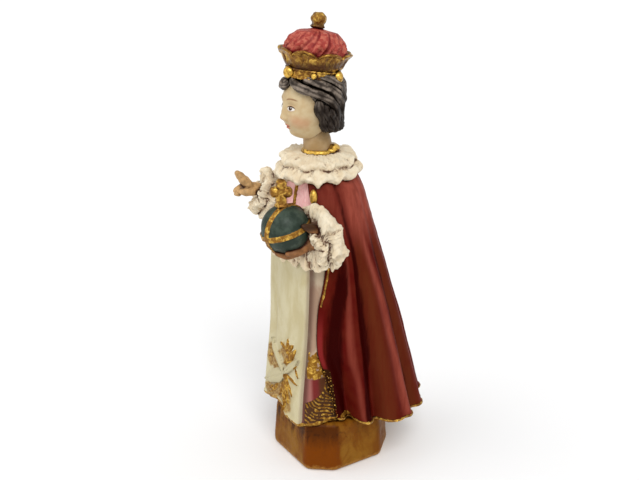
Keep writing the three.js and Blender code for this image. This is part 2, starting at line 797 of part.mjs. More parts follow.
function crown() {
  const rim = CROWN_RIM_DIAMETER / 2;
  const middle = RIM_FOOT * unit + CROWN_RIM_HEIGHT / 2;
  const jewels = Array.from({ length: CROWN_JEWELS }, (_, i) => {
    const way = direction((360 * i) / CROWN_JEWELS);
    const size = i % 2 === 0 ? CROWN_JEWEL_SIZE : CROWN_JEWEL_SIZE * 0.75;
    return ball(way.multiplyScalar(rim).setZ(middle), size, size, size * 1.1, 6, 4);
  });
  const knob = sweep(
    [0, 0.5, 1].map((share) => vector(0, 0, lerp(CAP_TOP - 0.9, KNOB_TOP, share) * unit)),
    (share) => KNOB_DIAMETER * (share < 0.25 ? 0.75 : 1),
    { sides: 8, rings: 6, reference: vector(0, 1, 0) },
  );
  return [crownBand(), crownCap(), knob, ...jewels].map((piece) => piece.applyMatrix4(CROWN));
}

// The casting

const pieces = [
  base(),
  gown(),
  frontPanel(),
  ...LEAVES.map((leaf) => reliefStroke(leaf, RELIEF_PROUD)),
  ...SPRIGS.map((sprig) => reliefStroke(sprig, RELIEF_PROUD * 0.7)),
  cape(),
  sleeve(LEFT_ELBOW, LEFT_WRIST),
  sleeve(RIGHT_ELBOW, RIGHT_WRIST),
  cuff(LEFT_CUFF, LEFT_CUFF_AXIS, LEFT_CUFF_DIAMETER, LEFT_CUFF_FORM),
  cuff(RIGHT_CUFF, RIGHT_FOREARM, RIGHT_CUFF_DIAMETER, RIGHT_CUFF_FORM),
  ...leftHand(),
  ...rightHand(),
  ...orb(),
  ruff(),
  ...neck(),
  head(),
  ...hair(),
  ...crown(),
];

const casting = fuse(pieces).getMesh();
const geometry = new THREE.BufferGeometry();
geometry.setAttribute("position", new THREE.BufferAttribute(casting.vertProperties, 3));
geometry.setIndex(new THREE.BufferAttribute(casting.triVerts, 1));

const statue = new THREE.Mesh(
  geometry,
  new THREE.MeshStandardMaterial({ color: 0x9a3a34, roughness: 0.55, metalness: 0 }),
);
statue.name = "statue";

const part = new THREE.Group();
part.add(statue);

export default part;
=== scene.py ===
# A small painted cast-resin statuette of a crowned child, in a long gown and an open cape, dressed
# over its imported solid. Lengths are millimetres in the part's own frame: +Z up, the child faces -Y,
# its left hand is on the +X side, and the origin is the centre of the base's underside.
import math

import bpy
import numpy as np
from mathutils import Matrix, Vector
from mathutils.bvhtree import BVHTree


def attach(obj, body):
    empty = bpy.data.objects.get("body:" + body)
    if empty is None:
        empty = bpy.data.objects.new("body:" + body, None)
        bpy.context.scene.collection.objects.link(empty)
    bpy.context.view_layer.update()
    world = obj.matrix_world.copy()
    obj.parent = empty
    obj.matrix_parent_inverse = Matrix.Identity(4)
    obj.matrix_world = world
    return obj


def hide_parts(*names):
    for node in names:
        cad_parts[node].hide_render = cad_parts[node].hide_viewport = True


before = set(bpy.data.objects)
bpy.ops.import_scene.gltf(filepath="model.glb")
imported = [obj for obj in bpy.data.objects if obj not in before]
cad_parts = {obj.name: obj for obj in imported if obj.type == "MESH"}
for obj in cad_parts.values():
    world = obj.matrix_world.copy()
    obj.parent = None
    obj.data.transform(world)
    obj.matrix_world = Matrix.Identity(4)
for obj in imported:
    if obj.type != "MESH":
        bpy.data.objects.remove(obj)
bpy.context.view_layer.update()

MM = 0.001
NODE = "statue"
BODY = "root"

# Base and figure, as the solid has them
BASE_WIDTH = 29.0
BASE_DEPTH = 28.0
BASE_HEIGHT = 14.0
# Where each upright face of the base ends
BASE_FRONT_ENDS = (-7.3, 9.7)
BASE_BACK_ENDS = (-8.3, 8.3)
BASE_LEFT_ENDS = (-7.8, 7.2)
BASE_RIGHT_ENDS = (-7.8, 7.8)
BASE_CORNER_RADIUS = 2.6
BASE_TAPER = 0.8
HEM = 0.4
FIGURE_HEIGHT = 106.0
WAIST = 52.5
NECK_FOOT = 69.0
CAPE_CLOTH = 1.2
PANEL_CLOTH = 0.8
RUFF_DIAMETER = 22.4
RUFF_COLLAR_DIAMETER = 19.4
RUFF_CLOTH = 1.8
LEFT_CUFF_DIAMETER = 18.0
RIGHT_CUFF_DIAMETER = 14.2
CUFF_CLOTH = 2.0
SLEEVE_DIAMETER = 7.0
ORB_DIAMETER = 12.2
ORB_BAND_WIDTH = 1.5
ORB_BAND_PROUD = 0.4
FINGER_DIAMETER = 2.2
NECK_DIAMETER = 7.2
CROWN_RIM_DIAMETER = 13.2
CROWN_RIM_HEIGHT = 2.4
CROWN_FLARE = 2.5
CROWN_LOBE_HEIGHT = 4.5
CROWN_LOBES = 8
CROWN_JEWELS = 6
KNOB_DIAMETER = 3.8


# Arithmetic on arrays of points

def curve(pairs):
    """A smooth curve through (position, value) pairs, level beyond both ends."""
    places, values = np.array(pairs, float).T
    slopes = np.gradient(values, places)
    slopes[1:-1] = (values[2:] - values[:-2]) / (places[2:] - places[:-2])

    def value_at(position):
        position = np.clip(position, places[0], places[-1])
        i = np.clip(np.searchsorted(places, position, side="right"), 1, len(places) - 1)
        span = places[i] - places[i - 1]
        t = (position - places[i - 1]) / span
        start = (1 + 2 * t) * (1 - t) ** 2 * values[i - 1] + t * (1 - t) ** 2 * span * slopes[i - 1]
        return start + t * t * (3 - 2 * t) * values[i] + t * t * (t - 1) * span * slopes[i]

    return value_at


def bump(distance, width):
    """1 at distance 0, smoothly down to 0 from this width on."""
    share = np.minimum(np.abs(distance) / width, 1)
    return (1 - share * share) ** 2


def rise(value, low, high):
    """0 below low, 1 above high, smooth between."""
    t = np.clip((value - low) / (high - low), 0, 1)
    return t * t * (3 - 2 * t)


def lerp(a, b, share):
    return a + (b - a) * share


def unit(vector):
    return np.asarray(vector, float) / np.linalg.norm(vector)


def above(points):
    """Points of the figure, which stands on the base."""
    return np.asarray(points, float) + [0, 0, BASE_HEIGHT]


def direction(angle):
    """Level unit vectors at angles from the front (-Y) towards +X."""
    turn = np.radians(angle)
    return np.stack([np.sin(turn), -np.cos(turn), np.zeros_like(turn)], -1)


def grain(points, size, seed=0):
    """Smooth noise from -1 to 1 over points, with features of about this size."""
    q = np.asarray(points, float) / size + 37.1 * seed
    cell = np.floor(q).astype(np.int64)
    part = q - cell
    part = part * part * (3 - 2 * part)
    total = np.zeros(q.shape[:-1])
    for corner in np.ndindex(2, 2, 2):
        i = cell + corner
        mixed = (i[..., 0] * 73856093) ^ (i[..., 1] * 19349663) ^ (i[..., 2] * 83492791) ^ (seed * 9176)
        mixed = (mixed ^ (mixed >> 13)) * 1274126177
        value = ((mixed >> 8) & 0xFFFF) / 0x7FFF - 1.0
        weight = np.prod(np.where(np.array(corner) == 1, part, 1 - part), axis=-1)
        total += weight * value
    return total


def rough(points, size, seed=0):
    """Grain with two finer layers on it."""
    fine = 0.5 * grain(points, size / 2.1, seed + 1) + 0.25 * grain(points, size / 4.3, seed + 2)
    return (grain(points, size, seed) + fine) / 1.4


# Meshes

def solid(name, points, faces):
    """A smooth closed object from points in millimetres. Its faces are turned to point outwards."""
    points = np.asarray(points, float) * MM
    corners = np.concatenate([np.asarray(f, np.int64).ravel() for f in faces])
    sizes = np.concatenate([np.full(len(f), np.shape(f)[1]) for f in faces])
    starts = np.concatenate([[0], np.cumsum(sizes)[:-1]])
    first, second = points[corners[starts]], points[corners[starts + 1]]
    third = points[corners[starts + 2]]
    volume = np.einsum("ij,ij->", first, np.cross(second, third))
    if volume < 0:
        corners = np.concatenate([np.asarray(f, np.int64)[:, ::-1].ravel() for f in faces])
    mesh = bpy.data.meshes.new(name)
    mesh.vertices.add(len(points))
    mesh.vertices.foreach_set("co", points.astype(np.float32).ravel())
    mesh.loops.add(len(corners))
    mesh.loops.foreach_set("vertex_index", corners.astype(np.int32))
    mesh.polygons.add(len(sizes))
    mesh.polygons.foreach_set("loop_start", starts.astype(np.int32))
    mesh.polygons.foreach_set("use_smooth", np.ones(len(sizes), bool))
    mesh.update(calc_edges=True)
    made = bpy.data.objects.new(name, mesh)
    bpy.context.scene.collection.objects.link(made)
    return made


def ring_faces(rings, columns, first=0):
    """Quads between rings of points that are closed on themselves."""
    i, j = np.meshgrid(np.arange(rings - 1), np.arange(columns), indexing="ij")
    a = (first + i * columns + j).ravel()
    b = (first + i * columns + (j + 1) % columns).ravel()
    return np.stack([a, b, b + columns, a + columns], -1)


def closed_faces(rings, columns):
    """Quads between rings of points whose last ring meets the first one."""
    i, j = np.meshgrid(np.arange(rings), np.arange(columns), indexing="ij")
    a = (i * columns + j).ravel()
    b = (i * columns + (j + 1) % columns).ravel()
    c = ((i + 1) % rings * columns + (j + 1) % columns).ravel()
    d = ((i + 1) % rings * columns + j).ravel()
    return np.stack([a, b, c, d], -1)


def skin_parts(rows, first=0):
    """The points and faces of a tube through rings of points, closed by a point at each end."""
    rings, columns, _ = rows.shape
    points = np.concatenate([rows.reshape(-1, 3), rows[:1].mean(1), rows[-1:].mean(1)])
    low, high = first + rings * columns, first + rings * columns + 1
    around = np.arange(columns)
    after = (around + 1) % columns
    top = first + (rings - 1) * columns
    ends = [
        np.stack([np.full(columns, low), first + after, first + around], -1),
        np.stack([np.full(columns, high), top + around, top + after], -1),
    ]
    return points, ring_faces(rings, columns, first), np.concatenate(ends)


def skin(name, rows, fields=None):
    """A closed object through rings of points. Each field has a value for each ring's point."""
    points, quads, ends = skin_parts(rows)
    made = solid(name, points, [quads, ends])
    for field, values in (fields or {}).items():
        flat = np.asarray(values, float).ravel()
        tips = [values[0].mean(), values[-1].mean()]
        store(made, field, np.concatenate([flat, tips]))
    return made


def skins(name, tubes, fields=None):
    """One object of several closed tubes."""
    points, quads, ends, first = [], [], [], 0
    for rows in tubes:
        p, q, e = skin_parts(rows, first)
        points.append(p)
        quads.append(q)
        ends.append(e)
        first += len(p)
    made = solid(name, np.concatenate(points), [np.concatenate(quads), np.concatenate(ends)])
    for field, parts in (fields or {}).items():
        values = [np.concatenate([v.ravel(), [v[0].mean(), v[-1].mean()]]) for v in parts]
        store(made, field, np.concatenate(values))
    return made


def store(made, field, values):
    attribute = made.data.attributes.new(field, "FLOAT", "POINT")
    attribute.data.foreach_set("value", np.asarray(values, np.float32))


def read_vertices(made, what):
    flat = np.empty(len(made.data.vertices) * 3, np.float32)
    made.data.vertices.foreach_get(what, flat)
    return flat.reshape(-1, 3)


def vertices(made):
    """Where an object's vertices are, in millimetres."""
    return read_vertices(made, "co") / MM


def reshaped(made, points):
    """Moves an object's vertices to points in millimetres."""
    made.data.vertices.foreach_set("co", (points * MM).astype(np.float32).ravel())
    made.data.update()
    return made


def settled(made, *modifiers):
    """Runs modifiers, given as (type, settings), on an object and keeps what they make as its mesh."""
    for kind, settings in modifiers:
        modifier = made.modifiers.new(kind.lower(), kind)
        for key, value in settings.items():
            setattr(modifier, key, value)
    evaluated = made.evaluated_get(bpy.context.evaluated_depsgraph_get())
    mesh = bpy.data.meshes.new_from_object(evaluated)
    mesh.polygons.foreach_set("use_smooth", np.ones(len(mesh.polygons), bool))
    made.modifiers.clear()
    made.data = mesh
    return made


def melted(made, grid, smoothing):
    """Joins an object's overlapping solids into one soft skin."""
    remesh = {"mode": "VOXEL", "voxel_size": grid * MM, "adaptivity": 0.0}
    return settled(made, ("REMESH", remesh), ("SMOOTH", {"factor": 0.5, "iterations": smoothing}))


def hammered(made, depth, seed):
    """Gives a small casting an uneven surface."""
    points = vertices(made)
    dent = depth * rough(points, 1.1, seed)
    return reshaped(made, points + read_vertices(made, "normal") * dent[:, None])


def route(points, count):
    """Places and directions at even steps along a smooth line through points."""
    points = np.asarray(points, float)
    lengths = np.concatenate([[0], np.cumsum(np.linalg.norm(np.diff(points, axis=0), axis=1))])
    at = np.linspace(0, lengths[-1], count)
    lines = [curve(np.stack([lengths, points[:, k]], -1)) for k in range(3)]
    places = np.stack([line(at) for line in lines], -1)
    ways = np.gradient(places, axis=0)
    return places, ways / np.linalg.norm(ways, axis=1, keepdims=True)


# Steps along a sweep's route, and the angle from an end's tip at which its first ring stands
ROUTE_STEPS = 200
TIP_ANGLE = 0.02


def swept(points, thickness, sides=24, rings=28, flat=1.0, reference=(0.31, 0.21, 0.93)):
    """Rings of a round-ended sweep through points, `flat` times as deep as wide across reference."""
    places, ways = route(points, ROUTE_STEPS)
    share = (1 - np.cos(np.linspace(TIP_ANGLE, math.pi - TIP_ANGLE, rings))) / 2
    last = ROUTE_STEPS - 1
    i = np.clip((share * last).round().astype(int), 0, last)
    centre, along = places[i], ways[i]
    side = np.cross(np.asarray(reference, float), along)
    side /= np.linalg.norm(side, axis=1, keepdims=True)
    up = np.cross(along, side)
    reach = np.array([thickness(s) for s in share]) / 2
    reach *= np.sqrt(np.maximum(0, 1 - np.abs(2 * share - 1) ** 4))
    turn = np.linspace(0, 2 * math.pi, sides, endpoint=False)
    ring = reach[:, None, None]
    across = np.cos(turn)[None, :, None] * side[:, None]
    deep = np.sin(turn)[None, :, None] * up[:, None] * flat
    return centre[:, None] + ring * (across + deep)


def ball(centre, size, sides=32, rings=20):
    """Rings of an ellipsoid with these three full sizes."""
    fall = np.linspace(TIP_ANGLE, math.pi - TIP_ANGLE, rings)[:, None]
    turn = np.linspace(0, 2 * math.pi, sides, endpoint=False)[None]
    level, up = np.sin(fall), -np.cos(fall) * np.ones_like(turn)
    unit_ball = np.stack([level * np.cos(turn), level * np.sin(turn), up], -1)
    return unit_ball * np.asarray(size, float) / 2 + centre


# Gown and cape, by angle round the body's axis and height above the base

# By height: how far back the body's axis stands, half the gown's width, the gown's reach in front,
# the cape's reach behind, and the angle of the cape's front edges
axis_at = curve([(HEM, 3.3), (66, -3), (NECK_FOOT, -3.6)])
gown_width = curve([
    (HEM, 11.8), (23.5, 11.1), (40.5, 10.3), (WAIST, 9.4), (60.5, 8.2), (66, 6.8), (NECK_FOOT, 4.4),
])
gown_front = curve([
    (HEM, 18.6), (10.5, 16.7), (23.5, 14.4), (40.5, 12.3), (WAIST, 10.4), (60.5, 8.8), (66, 6.8),
    (NECK_FOOT, 4.2),
])
cape_reach = curve([
    (HEM, 22.4), (23.5, 18.4), (40.5, 15), (57.5, 11.5), (63, 10.3), (66.5, 8.4), (NECK_FOOT, 5),
])
cape_edge = curve([
    (HEM, 56), (14, 48), (20, 43), (27, 43.5), (34, 47), (38, 51.5), (46, 58), (56, 50), (NECK_FOOT, 36),
])
# A place round the cape is counted as if its front edge hung at FULL_EDGE. Past SIDE it is the angle
FULL_EDGE = 50.0
SIDE = 95.0
# The front panel's edges, as angles at the waist
PANEL_FAR = -41.0
PANEL_NEAR = 38.0
FLOUNCE_FOOT = 44.0
# Folds as (angle, depth, half width), grooves below 0
SIDE_FOLDS = [
    (62, -2.2, 9), (76, 1.1, 7.5), (88, -2.3, 7), (101, 0.7, 9), (112, 0.7, 6), (121, -1.2, 6),
    (131, 0.9, 8),
]
BACK_FOLDS = [
    (146, -1.6, 7), (157, 0.6, 7), (169, -1.4, 6), (183, 0.7, 8), (197, -1.8, 7), (211, 0.8, 7),
]
# How much nearer to the front the far side's folds stand than the near side's
FAR_SIDE_SWING = 4.0


def near_side(nominal):
    """The place on the cape's near side that has the same fold."""
    return np.where(nominal <= 180, nominal, 360 - nominal + FAR_SIDE_SWING)


def folds_at(folds, angle):
    return sum(depth * bump(angle - fold, width) for fold, depth, width in folds)


def gown_reach(angle, z):
    """How far the gown stands from the body's axis."""
    x = np.abs(np.sin(np.radians(angle))) / gown_width(z)
    y = np.abs(np.cos(np.radians(angle))) / gown_front(z)
    low = 1 - rise(z, 0, NECK_FOOT)
    flare = 1 - rise(z, 0, 24)
    corner = (0.4 + 1.1 * flare) * bump(angle + 38, 10) - 0.8 * low * bump(angle + 25, 8)
    strip = -0.8 * bump(angle - 44, 7) * low + 0.5 * flare * bump(angle - 22, 9)
    return (x**6 + y**6) ** (-1 / 6) + corner + strip


def cape_angle(nominal, z):
    """The angle from the front at which a place of the cape stands."""
    near = np.minimum(nominal, 360 - nominal)
    edge = cape_edge(z)
    angle = lerp(edge, SIDE, (near - FULL_EDGE) / (SIDE - FULL_EDGE))
    angle = np.where(nominal < 180, angle, 360 - angle)
    return np.where(near > SIDE, nominal, angle)


def cape_folds(nominal, z):
    """How far the folds stand out of the cape, less and less towards the neck."""
    shallow = (1 - np.clip(z / NECK_FOOT, 0, 1)) ** 1.15 * 1.12
    return shallow * (folds_at(SIDE_FOLDS, near_side(nominal)) + folds_at(BACK_FOLDS, nominal))


def cape_shape(nominal, z):
    """How far the cape stands from the body's axis."""
    edge = cape_edge(z)
    angle = cape_angle(nominal, z)
    from_edge = rise(np.minimum(angle, 360 - angle), edge, 115)
    front = gown_reach(edge, z) + CAPE_CLOTH
    return lerp(front, cape_reach(z), from_edge) + cape_folds(nominal, z)


def body_points(angle, reach, z):
    """Points at angles, reaches and heights round the body's leaning axis."""
    points = direction(angle) * reach[..., None]
    points[..., 1] += axis_at(z)
    points[..., 2] = z
    return above(points)


def panel_inset(angle, z):
    """How far inside the front panel's edges a place is, in millimetres round the gown."""
    near = PANEL_NEAR * lerp(0.7, 1, rise(z, 0, WAIST))
    inside = np.minimum(near - angle, angle - PANEL_FAR)
    return inside * np.pi / 180 * gown_reach(angle, z)


# The relief at the panel's foot, as strokes of (x, z) root, (x, z) tip and width
RELIEF_ROOT = (1.2, 12.6)
IVORY_PETALS = [
    (RELIEF_ROOT, (-7.0, 19.0), 1.7), (RELIEF_ROOT, (6.5, 18.6), 2.1), ((1.0, 12.4), (-9.6, 5.2), 5.0),
]
GILT_LEAVES = [
    ((1.2, 18.4), (1.8, 22.6), 2.2), ((1.2, 19.2), (-1.8, 20.2), 2.0), ((1.4, 19.2), (4.2, 21.6), 2.2),
    ((1.4, 18.8), (3.8, 18.2), 1.8), ((0.6, 15), (5.4, 20.8), 3.0), ((1.6, 13.8), (6.4, 16.6), 1.6),
    ((-5.4, 16.2), (-8.8, 12.4), 1.4),
    (RELIEF_ROOT, (7.3, 11.4), 1.4), (RELIEF_ROOT, (5.6, 7.2), 1.7), (RELIEF_ROOT, (4.0, 4.4), 1.9),
    ((1.4, 10.8), (2.6, 3.0), 1.9), ((1.2, 9), (2.2, 0.8), 1.8), ((0.8, 9.4), (-0.5, 2.6), 2.0),
    ((5.8, 15.6), (7.2, 13.4), 1.0), ((-2, 6.6), (-5.4, 1.8), 2.2), ((-4.4, 4.6), (-9.0, 2.2), 2.0),
]


# Where the ground between the leaves is worked, as ellipses of middle x and z, half width and height
WORKED_GROUND = [(-5.2, 13.6, 5.2, 4.4), (0.5, 6, 4.6, 5.5), (-6, 2.6, 5, 2.4), (1.6, 17.6, 3.6, 3.4)]


def leaf_at(x, z, root, tip, width):
    """1 along a leaf's middle and 0 at its outline."""
    (x0, z0), (x1, z1) = root, tip
    length = math.hypot(x1 - x0, z1 - z0)
    along = ((x - x0) * (x1 - x0) + (z - z0) * (z1 - z0)) / length**2
    bend = 0.1 * width * np.sin(np.pi * np.clip(along, 0, 1)) * (1 if x1 > x0 else -1)
    across = np.abs(((x - x0) * (z1 - z0) - (z - z0) * (x1 - x0)) / length - bend)
    inside = np.clip(along, 0, 1)
    half = width / 2 * np.sin(np.pi * np.clip(inside, 0.01, 0.99) ** 0.8) ** 0.6
    return np.clip(1 - across / np.maximum(half, 1e-3), 0, 1) * (along > -0.02) * (along < 1)


def leaf_work(x, z, points, stipple):
    """Petals, leaves and worked ground at the panel's foot, and how far all of them stand out."""
    petals = [leaf_at(x, z, *petal) for petal in IVORY_PETALS]
    leaves = [leaf_at(x, z, *leaf) for leaf in GILT_LEAVES]
    flower = np.sqrt(1 - (1 - np.max(petals, axis=0)) ** 2)
    rib = np.max([rise(petal, 0.8, 0.98) for petal in petals], axis=0)
    sprig = np.max([leaf**0.7 for leaf in leaves], axis=0)
    vein = np.max([rise(leaf, 0.75, 0.95) for leaf in leaves], axis=0)
    spreads = [
        np.hypot((x - middle_x) / half_width, (z - middle_z) / half_height)
        for middle_x, middle_z, half_width, half_height in WORKED_GROUND
    ]
    ground = rise(1 - np.min(spreads, axis=0) + 0.25 * grain(points, 1.6, 4), 0, 0.2)
    relief = 1.15 * flower - 0.2 * rib + (0.75 * sprig - 0.15 * vein) * (1 - flower)
    relief = relief + 0.15 * ground * stipple * (1 - flower)
    return flower, sprig, ground, relief


# The gilt lace on the strips beside the panel: heights of its spray, and the middle (as angle round
# the gown and height) and the step of the swags that hang in rings below it
SPRAY_FOOT = 13.2
SPRAY_TOP = 22.5
SWAG_MIDDLE = (49, 10.6)
SWAG_STEP = 0.95
swag_top = curve([(30, 7.0), (38, 8.4), (42, 9.6), (45, 12), (47, 14.5)])


def strip_lace(side, z, points, stipple):
    """How far the spray and swags of gilt lace stand out, and where the swags hang."""
    spray = rise(SPRAY_TOP - z - 5 * np.abs(grain(points, 2.0, 9)), 0, 1.5) * rise(z - SPRAY_FOOT, 0, 0.5)
    middle_side, middle_z = SWAG_MIDDLE
    ring = np.hypot(0.38 * (side - middle_side), z - middle_z) + 0.3 * grain(points, 1.2, 10)
    swag_zone = rise(swag_top(side) - z, 0, 0.5)
    swags = (0.5 + 0.5 * np.cos(2 * np.pi * ring / SWAG_STEP)) * swag_zone
    return np.clip(spray * (0.55 + 0.5 * stipple) + swags * (0.58 + 0.55 * stipple), 0, 1.2), swag_zone


# The middle of the dark beaded border, by height, and where it ends
border_line = curve([(0, 51.5), (8, 50.2), (14.6, 48.5), (18, 46.5)])
BORDER_TOP = 15.4


def lace_border(side, z):
    """1 along the dark beaded border beside the cape's edge, which lies on gown and cape alike."""
    # The border's dark ground is partly a painted shadow of the gap between gown and cape
    return bump(side - border_line(z), 4.6) * (1 - rise(z, BORDER_TOP, BORDER_TOP + 1.5))


def lace_flounce(angle, z):
    """1 on the short lace flounce that falls over the panel's top under the hands."""
    foot = FLOUNCE_FOOT + 0.8 * np.sin(angle / 3.6) + 0.4 * np.sin(angle / 1.9)
    return rise(z, foot, foot + 0.5) * (1 - rise(z, WAIST - 1, WAIST + 1))


# How far the hem lifts off the base in the middle of the front
HEM_LIFT = 2.7
# Columns round the gown's front and the cape's outside, and rings up them
CLOTH_COLUMNS = 290
GOWN_LOWER_RINGS = 115
GOWN_UPPER_RINGS = 86
CAPE_RINGS = 200


def made_gown():
    """The flared gown, with its raised front panel, leaf work, lace and hem."""
    front = np.linspace(-100, 100, CLOTH_COLUMNS)
    back = np.linspace(100, 260, 26)[1:-1]
    angles = np.concatenate([front, back])
    angles = np.where(angles > 180, angles - 360, angles)
    lower = np.linspace(HEM - 0.3, 26, GOWN_LOWER_RINGS)
    upper = np.linspace(26.3, NECK_FOOT, GOWN_UPPER_RINGS)
    heights = np.concatenate([[-0.8], lower, upper])
    z, angle = np.meshgrid(heights, angles, indexing="ij")
    behind = rise(np.abs(angle), 86, 100)
    shown = 1 - behind
    reach = lerp(gown_reach(angle, z), 0.55 * gown_width(z), behind)
    x = reach * np.sin(np.radians(angle))
    inset = panel_inset(angle, z)
    below_waist = 1 - rise(z, WAIST - 0.6, WAIST)
    panel = rise(inset, -0.1, 0.45) * below_waist
    lip = 0.18 * bump(inset - 0.55, 0.6) * below_waist
    sag = 0.22 * np.sin(angle / 9.0 + z / 21) * rise(inset, 1, 5) * below_waist
    points = body_points(angle, reach, z)
    stipple = rough(points, 0.9, 7)
    flower, sprig, ground, relief = leaf_work(x, z, points, stipple)
    side = np.abs(angle)
    strip = rise(-inset, 0.3, 0.9) * shown
    lace, swag_zone = strip_lace(side, z, points, stipple)
    lacework = strip * lace
    hem_roll = 0.35 * bump(z - HEM - 0.5, 0.9)
    flounce = lace_flounce(angle, z) * rise(inset, -1.5, 0) * shown
    trim = bump(x - 0.7, 1.0) * rise(z, WAIST + 1, WAIST + 2) * shown
    pleat = 0.12 * np.sin(angle * 1.1) * rise(z, WAIST, WAIST + 3) * shown
    proud = panel * PANEL_CLOTH + lip + sag + relief * panel + 0.45 * lacework + hem_roll
    crumple = 0.35 * grain(points, 1.3, 15) - 0.3 * bump(grain(points, 1.8, 16), 0.2)
    proud = proud + flounce * (1.1 + 0.2 * np.sin(angle * 0.9) + crumple) + 0.35 * trim + pleat
    proud = proud + 0.05 * rough(points, 1.6, 2)
    gilt = np.maximum.reduce([
        panel * np.clip(sprig * (1 - 1.4 * flower), 0, 1), lacework,
        rise(1.1 - z + 0.5 * grain(points, 1.5, 5), 0, 0.4), trim,
    ])
    fields = {
        "inset": inset, "gilt": gilt, "flower": panel * flower, "height": z,
        "flounce": flounce, "ground": panel * ground * (1 - flower), "swag": strip * swag_zone,
        "border": lace_border(side, z), "side": side,
    }
    lift = HEM_LIFT * rise(angle, -34, -5) * (1 - rise(angle, 3, 9))
    raised = z + lift * (1 - rise(z, 0, 12))
    # The lowest ring turns in under the hem
    reach = reach + proud * shown - 1.6 * (z < HEM - 0.5)
    return skin("gown", body_points(angle, reach, z) + [0, 0, 1] * (raised - z)[..., None], fields)


# Lines of the cape's broad bands of painted shade and painted highlight, as (height, place round it)
near_dark_line = curve([(0, 50), (9, 53), (15, 57), (22, 59), (30, 62), (42, 67), (52, 72)])
groove_line = curve([(0, 79), (9, 81), (15, 84), (22, 86), (34, 86.5), (46, 87), (54, 83), (62, 79)])
rose_line = curve([(0, 112), (12, 111), (22, 109), (34, 108), (50, 102), (62, 98)])


def cape_bands(nominal, z, points):
    """How dark, rosy and brown each place of the cape is painted, each from 0 to 1."""
    side = near_side(nominal) + 1.2 * grain(points * [1, 1, 0.12], 2.4, 13)
    low = 1 - rise(z, 42, 60)
    back = rise(nominal, 136, 146) * (1 - rise(nominal, 216, 226))
    folds = folds_at(BACK_FOLDS, nominal) * back
    # Dark: painted shade in the grooves between the folds
    dark = bump(side - near_dark_line(z) - 2, 12) * (1 - rise(z, 38, 52))
    dark = np.maximum(dark, bump(side - groove_line(z), 6.5) * lerp(0.55, 1, low))
    dark = np.maximum(dark, 0.75 * bump(side - 119.5, 5) * low)
    dark = np.maximum(dark, rise(-folds, 0.2, 1.2) * lerp(0.4, 1, low))
    # Rosy: painted highlight on the ridges, the shoulders and the far edge, partly dry-brushed paint
    rose = bump(side - 74.5, 3.5) * low * 0.5
    rose = np.maximum(rose, bump(side - rose_line(z), lerp(10, 7, low)) * lerp(1, 0.8, low))
    rose = np.maximum(rose, rise(z, 46, 58) * lerp(0.45, 1, rise(side, 84, 92)))
    rose = np.maximum(rose, rise(folds, 0.2, 0.8) * 0.6)
    rose = np.maximum(rose, 0.75 * bump(side - 137, 9))
    brown = bump(side - 96, 11) * low
    brown = np.maximum(brown, bump(side - 124, 9) * low)
    return np.clip(dark, 0, 1), np.clip(rose, 0, 1) * (1 - 0.5 * brown), np.clip(brown, 0, 1)


# Radius of the cape's rounded front edges, the turns round them, and the columns of its inner side
LIP_RADIUS = 0.62
LIP_TURNS = np.radians([25, 50, 75, 100, 130, 160])
INNER_COLUMNS = 12


def made_cape():
    """The open cape, with its folds, rolled hem and rounded front edges."""
    outer = np.linspace(FULL_EDGE, 360 - FULL_EDGE, CLOTH_COLUMNS)
    hem_heights = [HEM - 0.1, HEM - 0.08, HEM, HEM + 0.15, HEM + 0.4]
    heights = np.concatenate([hem_heights, np.linspace(HEM + 0.7, 68.7, CAPE_RINGS)])
    z, nominal = np.meshgrid(heights, outer, indexing="ij")
    reach = cape_shape(nominal, z)
    angle = cape_angle(nominal, z)
    hem_in = curve(list(zip(hem_heights, (1.2, 0.5, 0.15, 0, 0))))
    roll = 0.32 * bump(z - HEM - 0.45, 0.95)
    points = body_points(angle, reach, z)
    wrinkle = 0.16 * grain(points * [1, 1, 0.22], 2.6, 11) + 0.05 * rough(points, 1.4, 12)
    reach = reach + roll - hem_in(z) + wrinkle * rise(z, HEM + 0.5, 3)
    face = body_points(angle, reach, z)
    from_edge = np.minimum(nominal - FULL_EDGE, 360 - FULL_EDGE - nominal) * np.pi / 180 * reach
    columns, edge_field = [face], [from_edge]
    # Each front edge is a rounded lip that turns back into the gown, and the inner side joins them
    for last, sign in ((-1, 1), (0, -1)):
        way = direction(angle[:, last])
        side = direction(angle[:, last] + 90 * sign)
        middle = face[:, last] - way * LIP_RADIUS
        turns = LIP_TURNS[::sign]
        outward = np.cos(turns)[None, :, None] * way[:, None]
        arc = middle[:, None] + LIP_RADIUS * (outward + np.sin(turns)[None, :, None] * side[:, None])
        columns.append(arc)
        edge_field.append(np.broadcast_to(-turns * LIP_RADIUS, arc.shape[:2]))
        if sign > 0:
            inner = np.linspace(angle[:, -1] - 360, angle[:, 0], INNER_COLUMNS + 2, axis=1)[:, 1:-1]
            inner_z = z[:, :INNER_COLUMNS]
            columns.append(body_points(inner, 0.6 * gown_width(inner_z), inner_z))
            edge_field.append(np.full(inner.shape, -3.0))
    rows = np.concatenate(columns, axis=1)
    height = np.broadcast_to(heights[:, None], rows.shape[:2])
    spare = rows.shape[1] - face.shape[1]
    fields = {"edge": np.concatenate(edge_field, axis=1), "height": height}
    painted = dict(zip(("dark", "rose", "brown"), cape_bands(nominal, z, points)))
    painted["border"] = lace_border(np.minimum(angle, 360 - angle), z)
    painted["patch"] = bump(nominal - 58, 10) * (1 - rise(z, 1.2, 3.6))
    # The lips and the inner side take each field's last value, but nothing on them is darkened
    for name, values in painted.items():
        beyond = "constant" if name == "dark" else "edge"
        fields[name] = np.pad(values, ((0, 0), (0, spare)), mode=beyond)
    return skin("cape", rows, fields)


# Base

